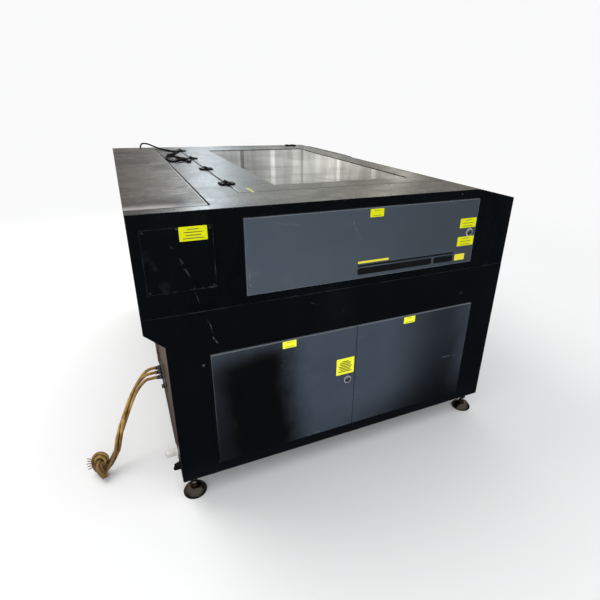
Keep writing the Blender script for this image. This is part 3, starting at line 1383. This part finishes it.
def key_switch():
    part = Piece("key_switch_ring", "cabinet", "chrome", "chrome")
    outline = [(0.0152, 0), (0.0205, 0), (0.0205, 0.0016), (0.0190, 0.0028), (0.0152, 0.0028)]
    part.ring(outline, (DEPTH, KEY_Y, KEY_Z), "X", 40)
    part.done()
    part = Piece("key_bow", "key", "chrome", "black")

    def blade(x, half_width, half_height, radius, seg):
        part.box(
            (DEPTH + x[0], DEPTH + x[1]), (KEY_Y - half_width, KEY_Y + half_width),
            (KEY_Z - half_height, KEY_Z + half_height), radius, seg,
        )

    blade((0.0180, 0.0310), 0.0028, 0.0110, radius=0.0024, seg=3)
    part.use("chrome")
    blade((0.0040, 0.0200), 0.0012, 0.0042, radius=0.0005, seg=2)
    part.done()


# ================================================================ rear face and louvres
def rear_fittings():
    """The cable tail, and the exhaust collar's ring, screws and cross bars."""
    part = Piece("rear_fittings", "cabinet", "black_plastic", "black")
    tail = [
        (0.0460, 0.070, 0.115), (0.0400, 0.070, 0.112), (0.0372, 0.071, 0.104),
        (0.0398, 0.073, 0.097), (0.0500, 0.075, 0.0942), (0.0700, 0.077, 0.0910),
    ]
    part.use("rubber").tube(curve_points(tail, 6), 0.0040, 12)
    x, y, middle = 0.0587, 1.520, 0.420
    rim = [(0.0675, 0.04), (0.0735, 0.04), (0.0740, 0.043), (0.0735, 0.0452), (0.0675, 0.0452)]
    part.use("zinc").ring(rim, (x, y, middle), "-X", 56)
    part.use("steel")
    for k in range(8):
        angle = math.tau * (k + 0.5) / 8
        at = (x - 0.0030, y + 0.0820 * math.cos(angle), middle + 0.0820 * math.sin(angle))
        part.screw(at, "-X", 0.0034, 0.0018)
    for k in range(5):
        z = middle - 0.048 + 0.024 * k
        half = math.sqrt(0.0665**2 - (z - middle) ** 2)
        part.tube([(0.0500, y - half, z), (0.0500, y + half, z)], 0.0012, 8)
    part.done()


def rear_fan_grille():
    part = Piece("rear_fan_grille", "cabinet", "steel", "steel")
    wall_x, wire_x, z = 0.0567, 0.0535, 0.240
    for y in (0.745, 1.155):

        def around(x, radius, angle):
            return (x, y + radius * math.cos(angle), z + radius * math.sin(angle))

        part.use("steel")
        for radius in (0.016, 0.030, 0.044, 0.056):
            part.tube([around(wire_x, radius, math.tau * k / 36) for k in range(37)], 0.0011, 6)
        for k in range(4):
            angle = math.tau * (k + 0.5) / 4
            part.tube([around(wire_x, 0.008, angle), around(wire_x, 0.062, angle)], 0.0014, 6)
            part.screw(around(wall_x, 0.0630, angle), "-X", 0.0038, 0.0030)
        part.use("bore").disc(0.058, 0, 0.0006, (wall_x, y, z), "-X", 48)
        rim = [(0.0575, 0), (0.0625, 0), (0.0620, 0.0022), (0.0580, 0.0022)]
        part.use("black").ring(rim, (wall_x, y, z), "-X", 56)
        hub = [(0, 0), (0.018, 0), (0.017, 0.0016), (0, 0.0018)]
        part.lathe(hub, (0.0562, y, z), "-X", 32)
    part.done()


def louvre_filter_pads():
    part = Piece("louvre_filter_pads", "cabinet", "rubber", "bore")
    right_louvres = (0.330, 1.028)
    for x in right_louvres:
        across = (x - 0.012, x + 0.172)
        part.box(across, (LENGTH - 0.0080, LENGTH - 0.0003), (0.428, 0.558), 0.0010)
    for y in (0.680, 1.090):
        part.box((0.0595, 0.0670), (y - 0.012, y + 0.142), (0.288, 0.418), 0.0010)
    part.use("steel")
    for x in right_louvres:
        for k in range(15):
            bar = (x + 0.0110 * k + 0.0022, x + 0.0110 * k + 0.0034)
            part.box(bar, (LENGTH - 0.0004, LENGTH + 0.0001), (0.430, 0.556))
    part.done()


# ================================================================ laser tube in its bay
TUBE_X, TUBE_Z = 0.150, 0.985
HIGH_VOLTAGE_WIRE = (
    (0.150, 1.600, 1.000), (0.150, 1.640, 1.020), (0.175, 1.700, 0.980), (0.200, 1.740, 0.910),
    (0.205, 1.720, 0.880),
)
LEFT_COOLING = (
    (0.150, 0.245, 1.020), (0.150, 0.225, 1.030), (0.120, 0.150, 1.000), (0.080, 0.090, 0.920),
    (0.070, 0.100, 0.880),
)
RIGHT_COOLING = (
    (0.150, 1.555, 1.020), (0.150, 1.575, 1.032), (0.100, 1.640, 1.000), (0.060, 1.700, 0.920),
    (0.060, 1.500, 0.880), (0.060, 0.900, 0.878), (0.066, 0.300, 0.880),
)


def laser_tube():
    part = Piece("laser_tube_glass", "cabinet", "glass", "glass", "silicone")
    middle = (TUBE_X, 0.900, TUBE_Z)
    part.collar(0.0385, 0.0400, -0.6850, 0.6850, middle, "Y", 48)
    part.collar(0.0115, 0.0130, -0.6600, 0.6600, middle, "Y", 32)
    cap = [
        (0, 0.6790), (0.0392, 0.6790), (0.0392, 0.6860), (0.0300, 0.6990), (0.0120, 0.7040),
        (0.0120, 0.7080), (0, 0.7080),
    ]
    tip = [
        (0, 0.7080), (0.0150, 0.7080), (0.0150, 0.7300), (0.0105, 0.7320), (0.0105, 0.7500),
        (0, 0.7500),
    ]
    for end in (-1, 1):
        axis = OUTWARD[end]
        part.use("alu").lathe(cap, middle, axis, 40)
        part.use("brass").lathe(tip, middle, axis, 32)
        part.use("copper").collar(0.0138, 0.0225, 0.5750, 0.6450, middle, axis, 32)
    for y in (0.400, 1.380):
        part.use("black").collar(0.0402, 0.0440, -0.012, 0.012, (TUBE_X, y, TUBE_Z), "Y", 44)
        part.use("steel")
        for side in (-1, 1):
            part.screw((TUBE_X + side * 0.044, y, TUBE_Z), "Z", 0.004, 0.003)
    part.use("red_wire").tube(curve_points(HIGH_VOLTAGE_WIRE, 8), 0.0035, 10)
    part.use("silicone").tube(curve_points(LEFT_COOLING, 8), 0.0050, 10)
    part.tube(curve_points(RIGHT_COOLING, 10), 0.0050, 10)
    part.done("laser_tube")


def first_mirror_mount():
    part = Piece("first_mirror_mount", "cabinet", "aluminium", "alu")
    part.box((0.130, 0.170), (0.080, 0.092), (0.8690, 1.0100), 0.002)
    part.box((0.120, 0.180), (0.060, 0.112), (0.8692, 0.8750), 0.001)
    mirror = [(0, 0), (0.0140, 0), (0.0140, 0.0050), (0.0110, 0.0060), (0, 0.0060)]
    part.use("brass").lathe(mirror, (TUBE_X, 0.092, TUBE_Z), "Y", 32)
    part.done()


# ================================================================ chamber
def side_belts():
    part = Piece("side_belts", "cabinet", "rubber", "rubber")
    pulley = [
        (0, -0.008), (0.0120, -0.008), (0.0120, -0.0066), (0.0095, -0.0060),
        (0.0095, 0.0060), (0.0120, 0.0066), (0.0120, 0.008), (0, 0.008),
    ]
    for y in (0.100, LENGTH - 0.100):
        belt_y = (y - 0.0050, y + 0.0050)
        part.use("rubber").box((0.400, 1.430), belt_y, (0.9312, 0.9326), 0.0003)
        for x in (0.400, 1.430):
            part.use("steel").lathe(pulley, (x, y, 0.9230), "Y", 28)
    part.use("zinc")
    for inward, y in ((1, 0.006), (-1, LENGTH - 0.006)):
        for x in (0.480, 0.800, 1.120, 1.380):
            part.box((x - 0.020, x + 0.020), (y, y + inward * 0.104), (0.8900, 0.8995), 0.001)
    part.done()


def rail_bolts():
    for side, y in (("left", 0.135), ("right", LENGTH - 0.135)):
        part = Piece(side + "_rail_bolts", "cabinet", "steel", "steel")
        for k in range(17):
            for shift in (-0.019, 0.019):
                part.screw((0.400 + 0.062 * k, y + shift, 0.9300), "Z", 0.0032, 0.0022)
        part.done()


def gantry_guide():
    """The guide strip, the end brackets with their pulleys, and the cable chain."""
    part = Piece("gantry_guide_and_belt", "gantry", "steel", "steel")
    part.box((0.493, 0.507), (0.130, LENGTH - 0.130), (1.0161, 1.0164), 0.0001)
    x = 0.500
    for y in (0.114, LENGTH - 0.114):
        part.use("black").box((0.468, 0.532), (y - 0.020, y + 0.020), (1.0163, 1.0300), 0.003)
        part.use("steel").disc(0.0130, 0, 0.0120, (x, y, 1.0300), "Z", 28)
        part.use("rubber").disc(0.0100, 0, 0.0080, (x, y, 1.0420), "Z", 24)
        part.use("steel")
        for shift_x in (-0.024, 0.024):
            for shift_y in (-0.012, 0.012):
                part.screw((x + shift_x, y + shift_y, 1.0300), "Z", 0.003, 0.002)
    part.use("black")
    for k in range(60):
        y = 0.190 + 0.0225 * k
        part.box((0.4530, 0.4695), (y - 0.0098, y + 0.0098), (0.9640, 0.9800), 0.0020)
    part.done()


HEAD_Y = 1.530


def head_details():
    part = Piece("head_details", "head_carriage", "aluminium", "steel")
    for shift in (-0.034, 0.034):
        for z in (0.936, 1.008):
            part.screw((0.550, HEAD_Y + shift, z), "X", 0.0034, 0.0024)
    mirror = [(0, 0), (0.0120, 0), (0.0120, 0.0050), (0.0095, 0.0058), (0, 0.0058)]
    part.use("brass").lathe(mirror, (0.5620, 1.5050, 1.004), "-Y", 28)
    part.use("alu").box((0.5505, 0.5740), (1.5060, 1.5130), (0.9925, 1.0180), 0.0015)
    part.use("red").box((0.5503, 0.5700), (1.5560, 1.5740), (0.930, 0.955), 0.002)
    part.use("steel").disc(0.0045, 0, 0.0140, (0.600, 1.5545, 0.975), "Y", 16)
    part.done()


def laser_nozzle():
    """The cone, three grip rings, a cap and the air tube of the laser head."""
    x = 0.586
    part = Piece("laser_head_nozzle", "laser_head", "chrome", "brass")
    cone = [
        (0, 0), (0.0026, 0), (0.0060, 0.0120), (0.0118, 0.0290), (0.0126, 0.0305),
        (0.0126, 0.0330), (0, 0.0330),
    ]
    part.lathe(cone, (x, HEAD_Y, 0.8848), "Z", 36)
    part.use("steel")
    for z in (1.002, 1.014, 1.026):
        grip = [(0.0158, z), (0.0172, z), (0.0176, z + 0.0015), (0.0172, z + 0.003),
                (0.0158, z + 0.003)]
        part.ring(grip, (x, HEAD_Y, 0), "Z", 36)
    cap = [(0, 0), (0.0168, 0), (0.0168, 0.0060), (0.0140, 0.0075), (0, 0.0075)]
    part.use("black").lathe(cap, (x, HEAD_Y, 1.0300), "Z", 36)
    air_tube = [
        (0.598, 1.530, 0.924), (0.611, 1.530, 0.926), (0.617, 1.528, 0.945),
        (0.616, 1.522, 0.990), (0.606, 1.516, 1.018), (0.590, 1.515, 1.026),
    ]
    part.use("silicone").tube(curve_points(air_tube, 6), 0.0028, 10)
    part.done()


def bed_details():
    part = Piece("bed_details", "bed", "steel", "steel")
    for y in (0.295, 0.920, 1.545):
        for x in (0.490, 1.370):
            part.screw((x, y, 0.8720), "Z", 0.0040, 0.0022)
    part.use("brass")
    for y in (0.252, 1.591):
        part.collar(0.0088, 0.0120, 0, 0.0060, (0.930, y, 0.8500), "Z", 24)
    part.done()


# ================================================================ electronics in the base
# finish, then x, y, z along each wire
WIRES = (
    ("red_wire", [(0.300, 0.131, 0.372), (0.300, 0.120, 0.400), (0.420, 0.118, 0.440),
                  (0.540, 0.160, 0.520), (0.600, 0.200, 0.545)]),
    ("blue_wire", [(0.324, 0.131, 0.372), (0.326, 0.114, 0.410), (0.440, 0.126, 0.460),
                   (0.560, 0.180, 0.530), (0.640, 0.200, 0.545)]),
    ("rubber", [(0.625, 0.176, 0.366), (0.625, 0.160, 0.345), (0.640, 0.180, 0.310),
                (0.680, 0.208, 0.300)]),
    ("red_wire", [(0.672, 0.176, 0.366), (0.672, 0.158, 0.342), (0.690, 0.182, 0.312),
                  (0.730, 0.208, 0.300)]),
    ("rubber", [(0.720, 0.176, 0.366), (0.722, 0.162, 0.340), (0.760, 0.185, 0.310),
                (0.800, 0.208, 0.300)]),
    ("blue_wire", [(0.935, 0.182, 0.346), (0.935, 0.165, 0.330), (0.925, 0.185, 0.310),
                   (0.905, 0.208, 0.300)]),
    ("red_wire", [(1.030, 0.182, 0.346), (1.030, 0.165, 0.330), (1.020, 0.185, 0.310),
                  (1.000, 0.208, 0.300)]),
    ("rubber", [(0.650, 0.190, 0.632), (0.650, 0.180, 0.655), (0.560, 0.170, 0.668),
                (0.400, 0.170, 0.660), (0.260, 0.190, 0.600), (0.240, 0.220, 0.420)]),
)


def power_supply_details(part):
    """Vents, a fan and a terminal row."""
    face_y, fan_x, fan_z = 0.1357, 0.462, 0.335
    part.use("bore")
    for k in range(14):
        vent = (0.236 + 0.013 * k, 0.243 + 0.013 * k)
        part.box(vent, (0.1350, 0.1362), (0.236, 0.300), 0.0004)
    part.use("black").collar(0.026, 0.034, 0, 0.003, (fan_x, face_y, fan_z), "-Y", 40)
    part.use("bore").disc(0.026, 0, 0.0008, (fan_x, face_y, fan_z), "-Y", 40)
    part.use("steel")
    for radius in (0.010, 0.018, 0.025):
        angles = [math.tau * k / 28 for k in range(29)]
        wire = [
            (fan_x + radius * math.cos(a), 0.1335, fan_z + radius * math.sin(a)) for a in angles
        ]
        part.tube(wire, 0.0009, 6)
    part.use("green")
    for k in range(6):
        terminal = (0.250 + 0.012 * k, 0.260 + 0.012 * k)
        part.box(terminal, (0.1290, face_y), (0.350, 0.368), 0.0010)
    part.use("steel")
    for k in range(6):
        part.screw((0.255 + 0.012 * k, 0.1290, 0.359), "-Y", 0.0026, 0.0010)


def motion_controller_details(part):
    """Two terminal rows and a lamp."""
    front_y, face_y, pitch = 0.1765, 0.1857, 0.0235
    part.use("green")
    for k in range(9):
        terminal = (0.615 + pitch * k, 0.635 + pitch * k)
        for z in ((0.366, 0.386), (0.494, 0.514)):
            part.box(terminal, (front_y, face_y), z, 0.0012)
    part.use("steel")
    for k in range(9):
        for z in (0.376, 0.504):
            for x in (0.6205, 0.6295):
                part.screw((x + pitch * k, front_y, z), "-Y", 0.0022, 0.0008)
    lamp = [(0, 0), (0.0028, 0), (0.0022, 0.0016), (0, 0.0020)]
    part.use("lamp").lathe(lamp, (0.820, face_y, 0.450), "-Y", 14)


def drives_and_rail(part):
    """Two stepper drives, a relay row on a rail, two wiring ducts and a flat box."""
    plate_y = 0.2355
    for k in range(2):
        x = 0.900 + 0.095 * k
        part.use("alu").box((x, x + 0.070), (0.1830, plate_y), (0.360, 0.500), 0.0020)
        for j in range(7):
            fin = (x + 0.004 + 0.009 * j, x + 0.008 + 0.009 * j)
            part.box(fin, (0.1740, 0.1835), (0.368, 0.492), 0.0008)
        part.use("green").box((x + 0.006, x + 0.064), (0.1800, 0.1900), (0.344, 0.3600), 0.0010)
    part.use("zinc").box((0.560, 1.360), (0.2290, plate_y), (0.584, 0.619), 0.0008)
    for k in range(12):
        x = 0.600 + 0.030 * k
        part.use("grey" if k % 3 else "blue_wire")
        part.box((x, x + 0.026), (0.1900, 0.2300), (0.570, 0.632), 0.0020)
    for z in (0.300, 0.545):
        part.use("grey").box((0.560, 1.360), (0.2100, plate_y), (z - 0.014, z + 0.014), 0.0015)
        part.use("bore")
        for k in range(52):
            x = 0.566 + 0.0152 * k
            part.box((x, x + 0.0040), (0.2094, 0.2110), (z - 0.010, z + 0.010))
    part.use("black").box((1.130, 1.330), (0.1750, plate_y), (0.360, 0.480), 0.0040)
    part.use("alu").box((1.140, 1.320), (0.1738, 0.1752), (0.372, 0.468), 0.0015)


def electronics():
    part = Piece("electronics_details", "cabinet", "black_plastic", "black")
    power_supply_details(part)
    motion_controller_details(part)
    drives_and_rail(part)
    for finish, path in WIRES:
        part.use(finish).tube(curve_points(path, 7), 0.0024, 8)
    part.done()


# ================================================================ small parts
def strut_pins():
    for side, y, end in (("left", 0.2445, -1), ("right", 1.6645, 1)):
        part = Piece(side + "_strut_pins", "cabinet", "steel", "steel")
        part.disc(0.0040, 0, 0.0190, (0.404, y, 0.800), OUTWARD[end], 18)
        part.done()


def cover_seal():
    """Strips beside the tube cover, and between the lid hinges."""
    part = Piece("cover_seal", "cabinet", "rubber", "rubber")
    part.box((0.2406, 0.2470), (0.0570, 1.7860), (TOP - 0.0020, TOP + 0.0005), 0.0004)
    part.box((0.0100, 0.2400), (0.0535, 0.0560), (TOP - 0.0020, TOP + 0.0003), 0.0003)
    for y in ((0.424, 0.764), (0.824, 1.165), (1.225, 1.555), (1.615, 1.715)):
        part.box((0.3712, 0.3785), y, (TOP - 0.0040, TOP + 0.0004), 0.0004)
    part.done()


def worn_edges():
    part = Piece("cover_worn_edge", "tube_cover", "steel", "nickel")
    part.box((0.2376, 0.2398), (0.0620, 1.7800), (TOP - 0.0008, TOP + 0.0003), 0.0003)
    part.done()
    part = Piece("lid_hem_rub_mark", "lid", "steel", "nickel")
    part.box((0.3792, 0.3822), (0.2156, 0.3000), (TOP - 0.0080, TOP + 0.0004), 0.0002)
    part.done()


def far_deck_cleats():
    part = Piece("far_deck_cleats", "cabinet", "black_plastic", "hinge")
    for x in (1.145, 1.185):
        across, z = (x - 0.012, x + 0.012), (TOP + 0.0001, TOP + 0.0080)
        part.use("hinge").box(across, (1.758, 1.800), z, 0.0020, turn=0.2)
        part.use("steel").screw((x, 1.779, TOP + 0.0078), "Z", 0.0040, 0.0022)
    part.done()


def power_inlet():
    part = Piece("power_inlet_body", "cabinet", "grey_plastic", "white")
    part.box((0.0150, 0.0590), (0.1070, 0.1370), (0.1290, 0.1460), 0.0018)
    part.box((0.0555, 0.0590), (0.0985, 0.1455), (0.1225, 0.1535), 0.0010)
    part.use("bore").box((0.0146, 0.0156), (0.1100, 0.1340), (0.1318, 0.1434), 0.0010)
    part.use("brass")
    for shift in (-0.0075, 0, 0.0075):
        part.box((0.0141, 0.0170), (0.1214 + shift, 0.1226 + shift), (0.1342, 0.1410))
    part.done("power_inlet")


def cable_gland():
    part = Piece("cable_gland_body", "cabinet", "rubber", "rubber")
    y, z, bore = 0.070, 0.115, 0.0042
    flange = [(bore, 0), (0.0155, 0), (0.0160, 0.0012), (0.0155, 0.0042), (bore, 0.0042)]
    part.ring(flange, (0.0588, y, z), "-X", 32)
    part.nut((0.0546, y, z), "-X", 0.0225, 0.0070, bore)
    dome = [
        (bore, 0), (0.0105, 0), (0.0100, 0.0060), (0.0080, 0.0092), (0.0056, 0.0100),
        (bore, 0.0100),
    ]
    part.ring(dome, (0.0476, y, z), "-X", 28)
    part.done("cable_gland")


# ================================================================ stage, light and camera
BACKDROP = (0.955, 0.957, 0.958)


def stage_floor():
    """A pale disc that fades into the backdrop, and looks dark or warm to glossy paint."""
    mesh = bpy.data.meshes.new("floor")
    form = bmesh.new()
    bmesh.ops.create_circle(form, cap_ends=True, segments=96, radius=60.0)
    form.to_mesh(mesh)
    form.free()
    floor = bpy.data.objects.new("floor", mesh)
    floor.location = (0, 0, -0.0003)
    bpy.context.scene.collection.objects.link(floor)
    mat = new_material("pale_floor")
    tones = (0.880, 0.880, 0.878), (0.905, 0.905, 0.903)
    reflected, warm_patch = (0.027, 0.034, 0.045), (0.62, 0.46, 0.38)
    pale = mat.mix(mat.noise(scale=0.8, detail=3), *tones)
    seen = mat.blend(
        mat.ramp(mat.vec("LENGTH", mat.coords), over=(2.2, 5.5)),
        mat.shader("ShaderNodeBsdfDiffuse", Color=pale),
        mat.shader("ShaderNodeEmission", Color=BACKDROP),
    )
    x, y, _ = mat.split(mat.coords)
    patch = mat.mul(
        mat.ramp(y, over=(-0.95, -0.55)), mat.ramp(x, over=(-0.90, -0.50), to=(1, 0))
    )
    mirrored = mat.shader("ShaderNodeEmission", Color=mat.mix(patch, reflected, warm_patch))
    glossy = mat.node("ShaderNodeLightPath").outputs["Is Glossy Ray"]
    mesh.materials.append(mat.surface(mat.blend(glossy, seen, mirrored)))


# The workshop that glossy paint reflects: bearing in degrees from +Y towards +X, colour
UPPER_ROOM = (
    (-60, (0.055, 0.052, 0.049)), (-6, (0.036, 0.028, 0.023)), (1, (0.028, 0.020, 0.016)),
    (3.4, (0.030, 0.023, 0.019)), (5.2, (0.050, 0.046, 0.042)), (6.4, (0.120, 0.120, 0.118)),
    (7.4, (0.330, 0.305, 0.280)), (8.1, (0.560, 0.535, 0.490)), (9, (0.930, 1.050, 1.120)),
    (10.4, (0.940, 1.070, 1.150)), (11.4, (0.840, 0.960, 1.020)), (12.6, (0.480, 0.550, 0.590)),
    (13.8, (0.190, 0.215, 0.220)), (16, (0.125, 0.135, 0.131)), (20, (0.086, 0.086, 0.075)),
    (22, (0.098, 0.098, 0.084)), (30, (0.054, 0.054, 0.044)), (32.8, (0.062, 0.061, 0.052)),
    (34, (0.420, 0.405, 0.345)), (35.6, (0.380, 0.362, 0.310)), (36.8, (0.078, 0.075, 0.064)),
    (42, (0.032, 0.031, 0.027)), (50, (0.050, 0.048, 0.044)), (90, (0.070, 0.068, 0.064)),
)
LOWER_ROOM = (
    (-60, (0.10, 0.095, 0.09)), (3, (0.12, 0.115, 0.11)), (8, (0.28, 0.29, 0.29)),
    (11, (0.40, 0.42, 0.43)), (13, (0.31, 0.325, 0.32)), (16, (0.36, 0.365, 0.35)),
    (19, (0.48, 0.48, 0.46)), (22, (0.70, 0.70, 0.66)), (27, (0.66, 0.655, 0.60)),
    (31, (0.42, 0.42, 0.37)), (36, (0.38, 0.37, 0.32)), (50, (0.22, 0.21, 0.19)),
    (90, (0.14, 0.135, 0.13)),
)
# upright lines in the lower room: bearing, half width, brightness
ROOM_LINES = (
    (14.8, 0.16, 0.45), (18.6, 0.20, 1.55), (22.3, 0.12, 0.60), (27.0, 0.14, 1.45),
    (31.5, 0.20, 1.60),
)


def room_pattern(sky, bearing):
    """Brightness of the posts, shelves, slats and upright lines in the lower room."""
    posts = sky.noise(at=sky.stretch(30, 22, 0.8), detail=4, rough=0.6, distort=0.1)
    slats = sky.noise(at=sky.stretch(90, 60, 3), detail=2, rough=0.6)
    shelves = sky.noise(at=sky.stretch(5, 4, 60), detail=3, rough=0.6, distort=0.3)
    pattern = sky.mul(
        sky.ramp(posts, over=(0.40, 0.60), to=(0.84, 1.08)),
        sky.ramp(shelves, over=(0.38, 0.56), to=(0.80, 1.08)),
    )
    pattern = sky.mul(pattern, sky.ramp(slats, over=(0.40, 0.56), to=(0.90, 1.05)))
    for at, half, gain in ROOM_LINES:
        line = sky.ramp(sky.size(sky.sub(bearing, at)), over=(half, half * 1.8), to=(1, 0))
        pattern = sky.mul(pattern, sky.add(1, sky.mul(line, gain - 1)))
    return pattern


def studio_world():
    """Even light for matt surfaces, a workshop for glossy ones, a plain backdrop to the camera."""
    world = bpy.data.worlds.new("studio")
    bpy.context.scene.world = world
    sky = Graph(world, "ShaderNodeOutputWorld")
    sky.coords = sky.node("ShaderNodeTexCoord").outputs["Generated"]
    x, y, z = sky.split(sky.coords)
    bearing = sky.mul(sky.calc("ARCTAN2", x, y), 180.0 / math.pi)
    pattern = room_pattern(sky, bearing)
    # the line between the lower and upper room drops a little beyond 24 degrees
    high = sky.ramp(
        z,
        over=(
            sky.ramp(bearing, over=(24, 30), to=(0.15, 0.135)),
            sky.ramp(bearing, over=(24, 30), to=(0.27, 0.190)),
        ),
    )
    room = sky.mix(
        high,
        sky.vec("SCALE", sky.stops(bearing, LOWER_ROOM), sky.mul(pattern, 1.75)),
        sky.vec("SCALE", sky.stops(bearing, UPPER_ROOM), 6.6),
    )
    ceiling, dark_low, dark_high = (0.42, 0.42, 0.42), (0.028, 0.032, 0.039), (0.34, 0.35, 0.37)
    room = sky.mix(sky.ramp(z, over=(0.70, 0.95)), room, ceiling)
    # towards -Y the room is dark
    dark = sky.mix(sky.ramp(z, over=(0.14, 0.42)), dark_low, dark_high)
    room = sky.mix(sky.ramp(y, over=(-0.12, 0.30)), dark, room)
    rays = sky.node("ShaderNodeLightPath").outputs
    light = sky.blend(
        rays["Is Glossy Ray"],
        sky.shader("ShaderNodeBackground", Color=(0.98, 0.99, 1.0), Strength=0.92),
        sky.shader("ShaderNodeBackground", Color=room),
    )
    backdrop = sky.shader("ShaderNodeBackground", Color=BACKDROP)
    sky.surface(sky.blend(rays["Is Camera Ray"], light, backdrop))


def area_light(name, at, size, power, colour):
    """A round light aimed at the middle of the machine, unseen in reflections."""
    light = bpy.data.lights.new(name, "AREA")
    light.shape, light.size, light.energy, light.color = "DISK", size, power, colour
    lamp = bpy.data.objects.new(name, light)
    lamp.location = at
    aim = Vector((0.0, 0.0, 0.6)) - Vector(at)
    lamp.rotation_euler = aim.to_track_quat("-Z", "Y").to_euler()
    bpy.context.scene.collection.objects.link(lamp)
    lamp.visible_glossy = False


def camera():
    """The view from outside the left end, towards the right end and the front."""
    data = bpy.data.cameras.new("camera")
    data.sensor_fit = "HORIZONTAL"
    data.sensor_width = 36.0
    data.lens = 26.098
    data.shift_x, data.shift_y = -0.0332, -0.0189
    data.clip_start, data.clip_end = 0.05, 200.0
    view = bpy.data.objects.new("camera", data)
    right = Vector((0.91017, -0.41366, 0.02155))
    up = Vector((0.14584, 0.36875, 0.91800))
    ahead = Vector((0.38769, 0.83241, -0.39596))
    turn = Matrix((right, up, -ahead)).transposed().to_4x4()
    view.matrix_world = Matrix.Translation(place(-0.001606, -1.284508, 1.40089)) @ turn
    bpy.context.scene.collection.objects.link(view)
    bpy.context.scene.camera = view
    bpy.context.scene.view_settings.view_transform = "Standard"


# ================================================================ build
finish_frame_parts()
for row in LABELS:
    label(*row)
for build in (
    door_stripe, cabinet_screws, end_face_studs, cam_locks, feet, lid_hinges,
    hoses, knot_string_ends, hose_fittings, deck_lead,
    panel_controls, emergency_stop, key_switch,
    rear_fittings, rear_fan_grille, louvre_filter_pads,
    laser_tube, first_mirror_mount, side_belts, rail_bolts,
    gantry_guide, head_details, laser_nozzle, bed_details, electronics,
    strut_pins, cover_seal, worn_edges, far_deck_cleats, power_inlet, cable_gland,
    stage_floor, studio_world,
):
    build()
area_light("key", at=(-2.2, 1.6, 4.2), size=3.4, power=108.0, colour=(1.0, 0.985, 0.96))
area_light("fill", at=(-1.0, -4.6, 2.6), size=2.4, power=30.0, colour=(0.95, 0.98, 1.0))
camera()
